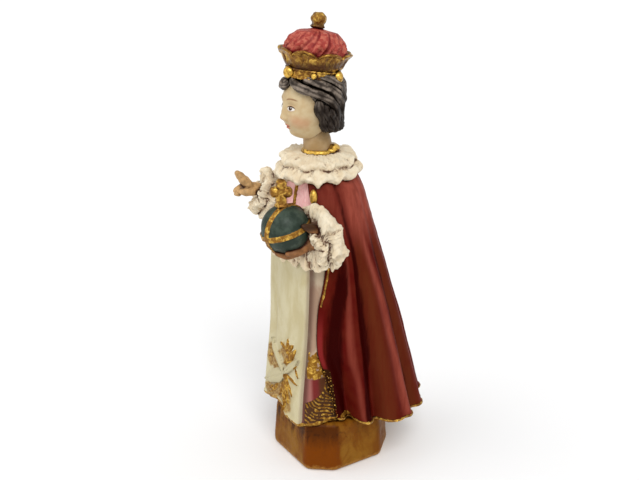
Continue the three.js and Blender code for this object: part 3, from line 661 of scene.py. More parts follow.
# The base's section as (how far proud of its faces, height), below and above its upright faces
BASE_FOOT = [(-8, 0), (-4, 0), (-1.6, 0), (-0.75, 0.12), (-0.3, 0.4), (-0.06, 0.9), (0.05, 1.5)]
BASE_SHOULDER = [(0.05, 12.4), (-0.1, 13), (-0.4, 13.5), (-0.9, 13.85), (-1.8, 14), (-5, 14), (-9, 14)]
BASE_PROUD = 0.12
CORNER_STEPS = 9
FACE_STEPS = 20


def made_base():
    """The low eight-sided base, with soft corners and a slight taper."""
    side, front = BASE_WIDTH / 2, BASE_DEPTH / 2
    corners = np.array([
        (BASE_FRONT_ENDS[1], -front), (side, BASE_LEFT_ENDS[0]), (side, BASE_LEFT_ENDS[1]),
        (BASE_BACK_ENDS[1], front), (BASE_BACK_ENDS[0], front), (-side, BASE_RIGHT_ENDS[1]),
        (-side, BASE_RIGHT_ENDS[0]), (BASE_FRONT_ENDS[0], -front),
    ])
    ahead = np.roll(corners, -1, axis=0) - corners
    normals = np.stack([ahead[:, 1], -ahead[:, 0]], -1)
    normals /= np.linalg.norm(normals, axis=1, keepdims=True)
    before = np.roll(normals, 1, axis=0)
    bisector = before + normals
    bisector /= (bisector * normals).sum(1, keepdims=True)
    centres = corners - BASE_CORNER_RADIUS * bisector
    places, ways = [], []
    blend = np.linspace(0, 1, CORNER_STEPS)[:, None]
    along = np.linspace(0, 1, FACE_STEPS + 2)[1:-1, None]
    for centre, after, start, end in zip(centres, np.roll(centres, -1, axis=0), before, normals):
        arc = start + (end - start) * blend
        arc /= np.linalg.norm(arc, axis=1, keepdims=True)
        places += [centre + 0 * arc, centre + (after - centre) * along]
        ways += [arc, np.broadcast_to(end, (FACE_STEPS, 2))]
    places, ways = np.concatenate(places), np.concatenate(ways)
    upright = [(BASE_PROUD, z) for z in np.linspace(2, BASE_HEIGHT - 2.2, 34)]
    rows = []
    for proud, z in BASE_FOOT + upright + BASE_SHOULDER:
        if proud > -BASE_CORNER_RADIUS:
            ring = places + ways * (BASE_CORNER_RADIUS + proud)
        else:
            ring = places * (1 + proud / front)
        ring = ring * (1 - BASE_TAPER / side * z / BASE_HEIGHT)
        rows.append(np.column_stack([ring, np.full(len(ring), z)]))
    rows = np.array(rows)
    dent = 0.16 * grain(rows, 5.0, 21) + 0.06 * rough(rows, 1.6, 22)
    outward = np.concatenate([ways, np.zeros((len(ways), 1))], axis=1)
    sides = rise(rows[..., 2], 0.3, 1.5)[..., None]
    rows = rows + outward[None] * dent[..., None] * sides
    return skin("base", rows)


# Ruff and cuffs

def frilled(outline, frills, sides, steps, seed, crush=1.0):
    """Rings of a frilled solid about +Z, from an outline of (reach, height, frill or None)."""
    spots = np.array([(r, h) for r, h, _ in outline])
    lengths = np.concatenate([[0], np.cumsum(np.linalg.norm(np.diff(spots, axis=0), axis=1))])
    at = np.linspace(0, lengths[-1], steps)
    reach = curve(np.column_stack([lengths, spots[:, 0]]))(at)[:, None]
    height = curve(np.column_stack([lengths, spots[:, 1]]))(at)[:, None]
    turn = np.linspace(0, 2 * math.pi, sides, endpoint=False)[None]
    reach, height = reach + 0 * turn, height + 0 * turn
    flare = np.zeros_like(reach)
    for number, (waves, depth, phase, lean) in enumerate(frills):
        share = curve([(s, float(f == number)) for s, (_, _, f) in zip(lengths, outline)])(at)[:, None]
        share = np.clip(share, 0, 1)
        wander = 0.35 * np.sin(2 * turn + phase) + 0.25 * np.sin(5 * turn + 2 * phase)
        uneven = 1 + 0.45 * np.sin(3 * turn + 4 * phase) * np.cos(5 * turn + phase)
        wave = uneven * (np.sin(waves * turn + phase + wander) + 0.3 * np.sin(2 * waves * turn + 3 * phase))
        reach = reach + share * 0.5 * depth * np.cos(waves * turn + 2 * phase + wander)
        height = height + share * (depth * wave - lean(turn))
        flare = flare + share
    points = np.stack([reach * np.cos(turn), reach * np.sin(turn), height], -1)
    crimp = 0.5 - np.abs(grain(points * [1, 1, 0.1], 1.25, seed + 21))
    crimp = crimp - np.abs(grain(points, 2.6, seed + 23))
    points[..., 2] += 0.42 * crush * crimp * rise(flare, 0.1, 0.9)
    body = rise(reach, 1.5, 4)
    level = 0 * reach
    spokes = np.stack([10 * np.cos(turn) + level, 10 * np.sin(turn) + level, 0.22 * at[:, None] + level], -1)
    pleat = 0.07 * np.cos(46 * turn + 3 * grain(points, 3, seed)) + 0.17 * grain(spokes, 1.5, seed + 6)
    pleat = pleat + 0.15 * grain(spokes, 0.7, seed + 7) + 0.09 * rough(points, 0.7, seed + 3)
    crease = bump(grain(points, 1.7, seed + 11), 0.16) * rise(flare, 0.1, 0.6)
    pleat = (crush * pleat - 0.22 * crease) * body
    slopes = np.gradient(points, axis=0)
    around = np.roll(points, -1, axis=1) - np.roll(points, 1, axis=1)
    normal = np.cross(slopes, around)
    normal /= np.maximum(np.linalg.norm(normal, axis=-1, keepdims=True), 1e-9)
    return points - normal * pleat[..., None]


def no_lean(turn):
    return 0 * turn


def made_ruff():
    """Two tiers of frill, the wider one below."""
    low, high = 67.3, 70.4
    foot, top = low - 1.8, high + RUFF_CLOTH / 2 + 0.4
    rim, collar = RUFF_DIAMETER / 2, RUFF_COLLAR_DIAMETER / 2
    outline = [
        (0.05, foot, None), (0.6 * rim, foot, None), (0.94 * rim, low - RUFF_CLOTH / 2, 0),
        (rim, low, 0), (0.93 * rim, low + RUFF_CLOTH / 2, 0), (0.92 * collar, (low + high) / 2, None),
        (0.95 * collar, high - RUFF_CLOTH / 2, 1), (collar, high, 1),
        (0.9 * collar, high + RUFF_CLOTH / 2, 1), (0.5 * collar, top, None), (0.05, top, None),
    ]

    def lower(turn):
        return 0.6 * np.cos(turn + math.radians(75))

    def upper(turn):
        return 0.5 * np.cos(turn + math.radians(45))

    frills = [(13, 0.5, 0.0, lower), (9, 0.45, 1.0, upper)]
    rows = frilled(outline, frills, sides=320, steps=90, seed=31)
    return skin("ruff", above(rows + [0, -4, 0]))


# Joints of the arms, directions along the forearms and places of the cuffs
LEFT_ELBOW = above([7, 1, 53])
LEFT_WRIST = above([11, -8.2, 51.9])
LEFT_FOREARM = unit([-0.15, -0.98, 0.1])
RIGHT_ELBOW = above([-7, -1, 55])
RIGHT_WRIST = above([-9.8, -14, 60])
RIGHT_FOREARM = unit([-0.35, -0.85, 0.4])
LEFT_CUFF_REACH = 3.0
RIGHT_CUFF_REACH = -0.6
PALM_THICKNESS = 4.0
LEFT_CUFF = LEFT_WRIST + LEFT_FOREARM * LEFT_CUFF_REACH
RIGHT_CUFF = RIGHT_WRIST + RIGHT_FOREARM * RIGHT_CUFF_REACH
LEFT_CUFF_AXIS = unit([0.12, -0.94, -0.24])
# Each cuff's squeeze, gap between its frills, size of the front one and how far that one hangs
LEFT_CUFF_FORM = (0.92, 0.34, 0.64, 1.8)
RIGHT_CUFF_FORM = (0.9, 0.42, 0.86, 0.0)


def made_cuff(name, centre, axis, diameter, form, seed):
    """Two frills round a wrist. The front one, a share of the back one's size, may hang lower."""
    squeeze, gap, share, drop = form
    half = diameter / 2
    back = -0.16 * half
    front = back + gap * half
    outline = [
        (0.05, back - 0.6 * half, None), (0.6 * half, back - 0.35 * half, None),
        (0.95 * half, back - CUFF_CLOTH / 2, 0), (half, back, 0), (0.9 * half, back + CUFF_CLOTH / 2, 0),
        ((share - 0.14) * half, (back + front) / 2, None), (share * half, front - CUFF_CLOTH / 4, 1),
        ((share - 0.03) * half, front + CUFF_CLOTH / 2, 1), (0.05, front - CUFF_CLOTH / 4, None),
    ]
    frills = [(7, 0.07 * half, 0.6, no_lean), (6, 0.07 * half, 2.2, no_lean)]
    rows = frilled(outline, frills, sides=276, steps=84, seed=seed, crush=1.35)
    hang = drop * rise(rows[..., 2], back + CUFF_CLOTH / 2, front - CUFF_CLOTH / 2)
    turn = np.array(Vector((0, 0, 1)).rotation_difference(Vector(axis)).to_matrix())
    placed_rows = (rows * [squeeze, 1, 1]) @ turn.T + centre - hang[..., None] * [0, 0, 1]
    return skin(name, placed_rows)


def made_sleeves():
    def thickness(share):
        return SLEEVE_DIAMETER * lerp(1.1, 0.7, share)

    tubes = []
    for elbow, wrist in ((LEFT_ELBOW, LEFT_WRIST), (RIGHT_ELBOW, RIGHT_WRIST)):
        stations = [elbow, (elbow + wrist) / 2, wrist]
        tubes.append(swept(stations, thickness, sides=72, rings=60))
    made = skins("sleeves", tubes)
    points = vertices(made)
    crease = 0.3 * grain(points * [1, 0.6, 1], 2.2, 41)
    return reshaped(made, points + unit([0.2, -0.4, 0.9]) * crease[:, None])


# Orb and hands

ORB_TO_WRIST = unit([0.5, 0.71, -0.49])
PALM = LEFT_WRIST + LEFT_FOREARM * 4
ORB_CENTRE = PALM - ORB_TO_WRIST * (ORB_DIAMETER / 2 + PALM_THICKNESS * 0.4) - [0, 0, 0.7]
GIRDLE_AXIS = unit([-0.12, -0.3, 1])
ARCH_AXIS = unit([0.94, 0.2, -0.14])


def on_orb(side, swing, proud):
    """A point over the orb, round to one side of its underside and swung along the forearm."""
    swing, side = math.radians(swing), math.radians(side)
    across = np.array([0, 0, -math.cos(side)]) + np.array([0.98, -0.15, 0]) * math.sin(side)
    way = unit(across * math.cos(swing) + LEFT_FOREARM * math.sin(swing))
    return ORB_CENTRE + way * (ORB_DIAMETER / 2 + proud)


def band_height(points, axis):
    """How far the orb's surface stands up into a gilt band round an axis."""
    away = np.abs(points @ axis) / (ORB_BAND_WIDTH / 2)
    return ORB_BAND_PROUD * (1 - rise(away, 0.75, 1.1)) * (1 - 0.35 * bump(away, 0.5))


def made_orb():
    """The orb, with its two hammered bands."""
    sphere = ball([0, 0, 0], [ORB_DIAMETER] * 3, sides=184, rings=112)
    outward = sphere / np.linalg.norm(sphere, axis=-1, keepdims=True)
    band = np.maximum(band_height(sphere, GIRDLE_AXIS), band_height(sphere, ARCH_AXIS))
    uneven = 0.06 * grain(sphere, 3, 51) + 0.09 * rough(sphere, 0.8, 52) * (band > 0.05)
    rows = sphere + outward * (band + uneven)[..., None] + ORB_CENTRE
    return skin("orb", rows, {"gilt": band / ORB_BAND_PROUD})


def made_orb_cross():
    """The cross on the orb, wider towards the ends of its arms."""
    foot = ORB_CENTRE + unit([0.04, -0.22, 0.95]) * (ORB_DIAMETER / 2 - 0.4)
    height = 7.4
    arm = np.array([0.53, 0.85, 0]) * 2.8
    middle = foot + [0, 0, height * 0.55]

    def flare(share):
        return 2.2 + 1.3 * abs(2 * share - 1)

    tubes = [
        swept([middle - arm, middle, middle + arm], flare),
        swept([foot, middle, foot + [0, 0, height]], flare),
        ball(middle, [2.6, 2.6, 2.8]),
        ball(foot + [0, 0, 0.7], [3.4, 3.4, 1.4]),
    ]
    made = melted(skins("orb_cross", tubes), grid=0.14, smoothing=3)
    return hammered(made, depth=0.16, seed=61)


def made_left_hand():
    proud = FINGER_DIAMETER * 0.3

    def knuckles(share):
        return FINGER_DIAMETER * (lerp(1.15, 0.85, share) + 0.07 * math.cos(6 * math.pi * share))

    def finger(side, reach):
        return swept([on_orb(side, swing, proud) for swing in (-58, -25, 0, reach)], knuckles)

    thumb = [
        LEFT_WRIST + [1.6, 1, 2.4], on_orb(84, -70, proud * 4), on_orb(104, -42, proud * 1.8),
        on_orb(112, -14, proud),
    ]
    tubes = [
        swept([LEFT_WRIST, PALM, on_orb(0, -48, proud)], lambda s: PALM_THICKNESS * 1.2),
        swept(thumb, lambda s: FINGER_DIAMETER * lerp(1.7, 0.9, s)),
        finger(40, 16), finger(14, 30), finger(-12, 28), finger(-38, 14),
    ]
    return melted(skins("left_hand", tubes), grid=0.18, smoothing=3)


def made_right_hand():
    def knuckles(share):
        return FINGER_DIAMETER * (lerp(1.2, 0.85, share) + 0.06 * math.cos(6 * math.pi * share))

    def finger(*places):
        return swept([RIGHT_WRIST + place for place in places], knuckles)

    palm = RIGHT_WRIST + [[0.7, 1.7, -0.8], [-0.2, -1.6, 0.7], [-0.4, -5, 2]]
    tubes = [
        swept(palm, lambda s: PALM_THICKNESS * 0.85),
        finger([-0.9, -4, 2.2], [-1, -6, 4.2], [-1, -8, 6.4]),
        finger([0.3, -4, 2], [0.3, -6.2, 3.8], [0.3, -8, 5.6]),
        finger([-1, -4.4, 1.6], [-1.1, -6.6, 1.6], [-1, -7.8, 0.8], [-0.9, -6.6, 0]),
        finger([0.2, -2.6, 1], [0.9, -5.4, 1], [0.6, -8, 1.4]),
    ]
    return melted(skins("right_hand", tubes), grid=0.13, smoothing=4)


# Head, in its own frame: it faces -Y and its origin is between the ears

HEAD_TURN = -5.0
HEAD_TILT = -4.0
HEAD_RISE = 84.0
# Half the skull's width, depth and height, and the rings and columns of its mesh
SKULL_SIDE = 6.2
SKULL_DEPTH = 7.2
SKULL_HEIGHT = 8.8
HEAD_RINGS = 160
HEAD_COLUMNS = 210


def head_frame(tilt, origin):
    turn = Matrix.Rotation(math.radians(HEAD_TURN), 4, "Z") @ Matrix.Rotation(math.radians(tilt), 4, "X")
    return Matrix.Translation(Vector(origin)) @ turn


HEAD = head_frame(HEAD_TILT, above([-0.2, -6.2, HEAD_RISE]))
# The crown leans back a little more than the head
CROWN_TILT = -7.2
CROWN = head_frame(CROWN_TILT, above([-0.15, -6.4, HEAD_RISE]))


def placed(points, matrix):
    """Points given in the head's or the crown's frame, in the part's own frame."""
    grid = np.array(matrix)
    return np.asarray(points) @ grid[:3, :3].T + grid[:3, 3]


# How far the ridge of the nose stands out, by height
nose_ridge = curve([(-4.4, 0), (-4, 0.75), (-3.5, 1.25), (-3, 1.15), (-2, 0.6), (-0.4, 0.25), (1.2, 0)])


def face_relief(x, z):
    """How far a calm, generic child's face stands out at x to either side and z up."""
    side = np.abs(x)

    def spot(left, up, width, height):
        return bump(side - left, width) * bump(z - up, height)

    ridge = nose_ridge(z) * bump(x, 1.3 - 0.16 * (z + 3.2)) + 0.36 * spot(0.78, -3.6, 0.6, 0.65)
    nostril = -0.25 * spot(0.5, -4.15, 0.35, 0.3)
    socket = -0.5 * spot(2.3, -0.7, 2.2, 1.7)
    fold = z - 0.25 + 0.12 * (side - 2.4) ** 2
    lid = 0.5 * spot(2.4, -0.85, 1.45, 1.0) - 0.16 * bump(fold, 0.22) * bump(side - 2.4, 1.4)
    brow = 0.18 * spot(2.5, 1.5, 2.2, 0.9)
    upper_lip = 0.36 * spot(0, -5.15, 1.4, 0.5) * (1 - 0.3 * bump(x, 0.25))
    lower_lip = 0.44 * spot(0, -5.9, 1.15, 0.5)
    mouth_line = -0.26 * spot(0, -5.5, 1.4, 0.22) - 0.2 * spot(1.45, -5.5, 0.5, 0.5)
    groove = -0.12 * spot(0, -4.6, 0.35, 0.5)
    chin = 0.45 * spot(0, -7.6, 1.9, 1.2) - 0.2 * spot(0, -6.6, 1.4, 0.5)
    cheek = 0.5 * spot(3.4, -3.9, 2.9, 3.1)
    features = ridge + nostril + socket + lid + brow + upper_lip + lower_lip + mouth_line
    return features + groove + chin + cheek


def made_head():
    """The skull and the face, narrower towards the chin."""
    fall = np.linspace(0.015, math.pi - 0.015, HEAD_RINGS)[:, None]
    turn = np.linspace(-math.pi, math.pi, HEAD_COLUMNS, endpoint=False)[None]
    way = direction(np.degrees(turn - 0.45 * np.sin(turn)))
    z = -SKULL_HEIGHT * np.cos(fall) + 0 * turn
    ring = np.sin(fall) + 0 * turn
    low = rise(-z, 1.5, SKULL_HEIGHT)
    full = ring ** (1 - 0.3 * rise(-z, 0, 4))
    x = SKULL_SIDE * way[..., 0] * full * (1 - 0.26 * low)
    behind, before = ring * (1 - 0.4 * low), full * (1 - 0.06 * low)
    y = SKULL_DEPTH * way[..., 1] * np.where(way[..., 1] > 0, behind, before)
    front = rise(-way[..., 1], 0.25, 0.75)
    rows = np.stack([x, y - front * face_relief(x, z), z], -1)
    return skin("head", placed(rows, HEAD))


def made_neck():
    foot = above([0.3, -3.3, 66])
    throat = placed([0, 1.9, -6], HEAD)
    stations = [foot, (foot + throat) / 2, throat]
    return skins("neck", [swept(stations, lambda s: NECK_DIAMETER, sides=96, rings=60)])


# Ends of the hair, the fineness of its mass, and by height its reach and the angle at which it starts
HAIR_FOOT = -6.6
HAIR_TOP = 8.0
HAIR_RINGS = 110
HAIR_COLUMNS = 220
hair_reach = curve([(HAIR_FOOT, 6.4), (-5.6, 7.7), (-2, 7.7), (1.5, 8.2), (5, 7.9), (HAIR_TOP, 6.2)])
hairline = curve([
    (-7, 94), (-5, 92), (-3, 87), (-1, 79), (1.5, 69), (3, 57), (4.4, 40), (5.6, 22), (6.4, -20),
])


def hair_point(angle, z, proud=0.0):
    """Points on the hair in the head's frame, at angles from the front and heights."""
    way = direction(angle)
    full = hair_reach(z) * lerp(1, 0.85, np.abs(way[..., 0]))
    back = rise(np.abs(angle), 30, 95)
    skull = lerp(SKULL_DEPTH, SKULL_SIDE, np.abs(way[..., 0]))
    skull = np.sqrt(np.maximum(0, 1 - (z / SKULL_HEIGHT) ** 2)) * skull
    reach = lerp(skull + 0.5, full, back) + proud
    points = way * np.asarray(reach)[..., None]
    points[..., 2] = z
    return points


# Locks as (angle, height) stations on the hair. The upper ones sweep back from the parting and
# the lower ones fall in waves over the ear and the nape.
CURL = [(-22, 5.6), (-14, 4.2), (-4, 4.3), (3, 5.8)]
SIDE_LOCKS = [
    [(6, 7), (22, 5.6), (38, 4.6), (56, 4.1), (76, 3.6), (98, 2.4), (118, 0.2), (133, -2.6), (140, -5.2)],
    [(22, 7.6), (46, 6.7), (68, 6.1), (92, 5.3), (114, 3.8), (134, 1.4), (150, -1.8), (156, -4.6)],
    [(46, 8), (74, 7.6), (98, 7), (122, 5.4), (142, 3), (158, 0), (166, -3)],
    [(84, 8), (110, 7.4), (134, 5.8), (152, 2.6), (166, -0.6)],
    [(80, 2.2), (83, -0.4), (92, -2.6), (96, -4.4), (104, -6)],
    [(92, 1.2), (96, -1.2), (108, -3), (112, -4.8), (119, -6.2)],
    [(106, 0.2), (111, -1.8), (123, -3.6), (127, -5.2), (134, -6.3)],
    [(121, -1.4), (129, -3.4), (140, -5), (146, -6.3)],
    [(134, -1.6), (144, -3.8), (153, -5.4), (158, -6.4)],
    [(152, 1), (160, -2), (170, -4.6), (173, -6.4)],
    [(120, 8), (146, 6.6), (164, 4), (174, 0.8), (182, -3), (186, -6.4)],
]
# Points round a lock of hair and rings along it
LOCK_SIDES = 32
LOCK_RINGS = 50


def lock(stations, width, seed):
    """Rings of one lock of hair, and 1 on the crests of its strands."""
    angle, z = np.array(stations, float).T
    lift = 0.15 + 0.2 * math.sin(seed)
    points = placed(hair_point(angle, z, lift), HEAD)

    def thickness(share):
        return width * (1 - 0.25 * share + 0.1 * math.sin(9 * share + seed))

    rows = swept(points, thickness, sides=LOCK_SIDES, rings=LOCK_RINGS, flat=0.85)
    middle = rows.mean(1, keepdims=True)
    turn = np.linspace(0, 2 * math.pi, LOCK_SIDES, endpoint=False)[None]
    along = np.linspace(0, 1, LOCK_RINGS)[:, None]
    wander = 1.3 * grain(rows, 2.2, seed)
    strand = 0.5 + 0.5 * np.cos(6 * turn + 3 * along + seed + 1.6 * wander)
    clump = 0.16 * grain(rows, 1.5, seed + 40) + 0.08 * grain(rows, 0.7, seed + 50)
    return middle + (rows - middle) * (1 - 0.13 * strand + clump)[..., None], strand


def made_hair():
    """A waved mass of hair with locks laid over it."""
    fall = np.linspace(0.03, math.pi - 0.03, HAIR_RINGS)[:, None]
    turn = np.linspace(-math.pi, math.pi, HAIR_COLUMNS, endpoint=False)[None]
    angle = np.degrees(turn + 0.35 * np.sin(turn)) + 0 * fall
    share = fall / math.pi + 0 * turn
    ring = np.sin(fall) + 0 * turn
    z = lerp(HAIR_FOOT, HAIR_TOP, share)
    shown = rise(np.abs(angle), hairline(z) - 6, hairline(z) + 6)
    wave = np.radians(np.abs(angle)) * 10 + 2.2 * np.sin(4 * share)
    carving = (0.45 * np.cos(wave) + 0.12 * np.cos(5 * wave + 3 * share)) * np.sin(np.pi * share)
    kept = np.minimum(1, ring * 2.2) * lerp(0.55, 1, shown)
    middle = np.stack([0 * z, 0 * z, z], -1)
    mass = placed(lerp(middle, hair_point(angle, z, carving), kept[..., None]), HEAD)
    tubes, strands = [mass], [0.5 + 0.5 * np.cos(5 * wave + 3 * share)]
    routes = [CURL] + SIDE_LOCKS + [[(-a, z) for a, z in stations] for stations in SIDE_LOCKS]
    for number, stations in enumerate(routes):
        rows, strand = lock(stations, 2.9 if number == 0 else 3.3, number)
        tubes.append(rows)
        strands.append(strand)
    return skins("hair", tubes, {"strand": strands})


# Crown, with its heights above the middle of the head

KNOB_TOP = (FIGURE_HEIGHT - HEAD_RISE) / math.cos(math.radians(CROWN_TILT))
RIM_FOOT = 6.3
CROWN_FLOOR = 3.4
CAP_TOP = 18.6
CROWN_JEWEL_SIZE = 2.8
JEWEL_TURN = 5.0
BAND_COLUMNS = 376
RIM_RINGS = 26
LOBE_RINGS = 60
CAP_COLUMNS = 240
CAP_RINGS = 112


def made_crown_band():
    """The rim with its mouldings and the flared, ribbed lobes that stand on it."""
    rim = CROWN_RIM_DIAMETER / 2
    turn = np.linspace(0, 2 * math.pi, BAND_COLUMNS, endpoint=False)[None]
    lobe = 0.7 + 0.3 * np.abs(np.cos(CROWN_LOBES * turn / 2)) ** 0.6
    share = np.linspace(0, 1, LOBE_RINGS)[:, None]
    rim_z = CROWN_RIM_HEIGHT * np.linspace(0, 1, RIM_RINGS)[:, None] + 0 * turn
    moulding = 0.3 * bump(rim_z - 0.25, 0.45) + 0.3 * bump(rim_z - CROWN_RIM_HEIGHT + 0.25, 0.45)
    rim_reach = rim + moulding
    up = share**0.9
    across = (CROWN_LOBES * turn / 2 / np.pi + 0.5) % 1 - 0.5
    hollow = 0.5 * bump(across, 0.36) * bump(share - 0.52, 0.4)
    rib = 0.16 * np.cos(2 * np.pi * 5 * across) * bump(share - 0.4, 0.5) * bump(across, 0.45)
    edge_roll = 0.4 * bump(share - 0.92, 0.13)
    lobe = lobe * (1 + 0.05 * grain(10 * direction(np.degrees(turn)), 1.6, 75))
    lobe_z = CROWN_RIM_HEIGHT + CROWN_LOBE_HEIGHT * up * lobe
    lobe_reach = rim + CROWN_FLARE * up**0.8 * lobe - hollow + rib + edge_roll
    tip_reach = rim + CROWN_FLARE * lobe - 0.45
    tip_z = CROWN_RIM_HEIGHT + CROWN_LOBE_HEIGHT * lobe + 0.12
    floor_z = CROWN_FLOOR + 0 * turn
    # Up the plain rim, up the lobes outside, over their edge and down inside
    outline = [
        (0.1 * rim_reach[:1], rim_z[:1]), (rim_reach, rim_z), (lobe_reach, lobe_z), (tip_reach, tip_z),
        (tip_reach - 0.5, tip_z - 0.7), (0.7 * rim + 0 * turn, floor_z), (0.1 * rim_reach[:1], floor_z),
    ]
    reach, height = (np.concatenate(parts) for parts in zip(*outline))
    rows = np.stack([reach * np.sin(turn), -reach * np.cos(turn), RIM_FOOT + height], -1)
    worn = 0.07 * rough(rows, 0.9, 71) * rise(reach, 3, 5)
    rows = rows * (1 + worn / 7)[..., None] * [1, 1, 0] + rows * [0, 0, 1]
    return skin("crown_band", placed(rows, CROWN))


def made_crown_cap():
    """The soft cap, gathered in slanting creases up to the knob."""
    rim = CROWN_RIM_DIAMETER / 2
    foot = RIM_FOOT + CROWN_RIM_HEIGHT / 2
    profile = curve([(0, 0.8), (0.3, 1.02), (0.5, 1.14), (0.75, 1.0), (1, 0.5)])
    share = np.linspace(0.01, 0.99, CAP_RINGS)[:, None]
    turn = np.linspace(0, 2 * math.pi, CAP_COLUMNS, endpoint=False)[None]
    ring = np.sin(np.pi * share)
    slant = 9 * turn - 11 * share + 0.6 * np.sin(2 * turn)
    finer = 22 * turn - 20 * share + 2 * np.sin(3 * turn)
    puff = 1 + 0.03 * np.sin(slant) * ring
    crush = 0.03 * np.sin(finer) * ring
    reach = rim * profile(share) * (puff + crush) * np.minimum(1, ring * 3)
    rows = np.stack([reach * np.cos(turn), reach * np.sin(turn), lerp(foot, CAP_TOP, share) + 0 * turn], -1)
    bunch = 0.5 * grain(rows * [1, 1, 1.4], 1.9, 81) + 0.3 * rough(rows, 1.1, 82)
    outward = rows - [0, 0, 11]
    outward /= np.linalg.norm(outward, axis=-1, keepdims=True)
    gather = 0.7 * np.sin(slant) + 0.7 * np.sin(finer) + 0.7 * grain(rows, 1.9, 81)
    return skin("crown_cap", placed(rows + outward * (bunch * ring)[..., None], CROWN), {"gather": gather})


def made_crown_knob():
    stem = [[0, 0, lerp(CAP_TOP - 0.9, KNOB_TOP, s)] for s in (0, 0.5, 1)]
    middle = np.array([0, 0, KNOB_TOP - 1.75])
    tubes = [
        swept(stem, lambda s: KNOB_DIAMETER * (0.62 if s < 0.3 else 0.85), reference=(0, 1, 0)),
        ball(middle, [KNOB_DIAMETER, KNOB_DIAMETER, 3.2]), ball([0, 0, CAP_TOP + 0.1], [3.6, 3.6, 1.2]),
    ]
    made = skins("crown_knob", [placed(rows, CROWN) for rows in tubes])
    return hammered(melted(made, grid=0.13, smoothing=3), depth=0.22, seed=91)


def made_crown_jewels():
    rim = CROWN_RIM_DIAMETER / 2
    tubes = []
    for i in range(CROWN_JEWELS):
        size = CROWN_JEWEL_SIZE * (1 if i % 2 == 0 else 0.5)
        centre = direction(np.array(360 * i / CROWN_JEWELS + JEWEL_TURN)) * (rim + 0.2)
        centre[2] = RIM_FOOT + CROWN_RIM_HEIGHT / 2
        tubes.append(placed(ball(centre, [size, size, size * 1.1]), CROWN))
    return hammered(skins("crown_jewels", tubes), depth=0.08, seed=95)


# Neck band and clasps

NECK_RING_DEPTH = 1.4
NECK_RING_HEIGHT = 2.0
NECK_RING_SECTIONS = 200
NECK_RING_SIDES = 24
CLASP_ANGLE = 46.0
CLASP_HEIGHT = 62.6


def made_neck_band():
    """The gilt ring round the neck and the bow on it."""
    turn = np.linspace(0, 2 * math.pi, NECK_RING_SECTIONS, endpoint=False)
    outward = np.stack([np.cos(turn), np.sin(turn), 0 * turn], -1)
    centre = above([0.2, -3.6, 71.6]) + (NECK_DIAMETER / 2 + 0.35) * outward
    section = np.linspace(0, 2 * math.pi, NECK_RING_SIDES, endpoint=False)
    rows = centre[:, None] + NECK_RING_DEPTH / 2 * np.cos(section)[None, :, None] * outward[:, None]
    rows = rows + NECK_RING_HEIGHT / 2 * np.sin(section)[None, :, None] * np.array([0, 0, 1])
    rows = rows + 0.1 * rough(rows, 0.7, 97)[..., None] * outward[:, None]
    faces = closed_faces(NECK_RING_SECTIONS, NECK_RING_SIDES)
    ring = solid("neck_ring", rows.reshape(-1, 3), [faces])
    knot = [
        ball(above([3.4, -1.6, 72.7]), [2.6, 2.6, 2.4]), ball(above([4, -2.7, 72.3]), [2.0, 2.0, 1.7]),
        ball(above([2.7, -0.4, 72.6]), [2.0, 2.0, 1.9]),
    ]
    bow = melted(skins("neck_bow", knot), grid=0.12, smoothing=2)
    bow = hammered(bow, depth=0.12, seed=98)
    return [ring, bow]


def made_clasps():
    tubes = []
    for sign in (1, -1):
        angle, z = np.array(CLASP_ANGLE * sign), np.array(CLASP_HEIGHT)
        centre = body_points(angle, cape_shape(np.array(FULL_EDGE), z) + 0.1, z)
        tubes.append(ball(centre, [2.0, 1.8, 4.0]))
    return hammered(skins("cape_clasps", tubes), depth=0.1, seed=99)


# Beads and piping, grown along lines of points

def line_group(name, settings, build):
    """A geometry group over lines, with named number inputs and a material, that build fills in."""
    group = bpy.data.node_groups.new(name, "GeometryNodeTree")
    group.interface.new_socket("Geometry", in_out="INPUT", socket_type="NodeSocketGeometry")
    for label, kind in settings:
        group.interface.new_socket(label, in_out="INPUT", socket_type="NodeSocket" + kind)
    group.interface.new_socket("Material", in_out="INPUT", socket_type="NodeSocketMaterial")
    group.interface.new_socket("Geometry", in_out="OUTPUT", socket_type="NodeSocketGeometry")
    given = group.nodes.new("NodeGroupInput").outputs

    def add(kind, inputs, output=0, **values):
        node = group.nodes.new(kind)
        for key, value in values.items():
            setattr(node, key, value)
        for key, value in inputs.items():
            if isinstance(value, bpy.types.NodeSocket):
                group.links.new(value, node.inputs[key])
            else:
                node.inputs[key].default_value = value
        return node.outputs[output]

    whole = add("GeometryNodeRealizeInstances", {"Geometry": build(add, given)})
    dressed = add("GeometryNodeSetMaterial", {"Geometry": whole, "Material": given["Material"]})
    result = group.nodes.new("NodeGroupOutput")
    group.links.new(dressed, result.inputs[0])
    return group


def beads_on_lines(add, given):
    """Beads of uneven sizes strung along lines, each a little off its place."""
    line = add("GeometryNodeMeshToCurve", {"Mesh": given["Geometry"]})
    even = add("GeometryNodeResampleCurve", {"Curve": line, "Length": given["Spacing"]}, mode="LENGTH")
    least_shift = add("ShaderNodeMath", {0: given["Scatter"], 1: -1.0}, operation="MULTIPLY")
    limits = {0: least_shift, 1: given["Scatter"], 8: given["Seed"]}
    shift = add("FunctionNodeRandomValue", limits, 0, data_type="FLOAT_VECTOR")
    spots = add("GeometryNodeSetPosition", {"Geometry": even, "Offset": shift})
    bead = add("GeometryNodeMeshIcoSphere", {"Radius": given["Bead radius"], "Subdivisions": 3})
    least = add("ShaderNodeMath", {0: 1.0, 1: given["Unevenness"]}, operation="SUBTRACT")
    size = add("FunctionNodeRandomValue", {2: least, 3: 1.0, 8: given["Seed"]}, 1)
    strung = add("GeometryNodeInstanceOnPoints", {"Points": spots, "Instance": bead, "Scale": size})
    return add("GeometryNodeSetShadeSmooth", {0: strung})


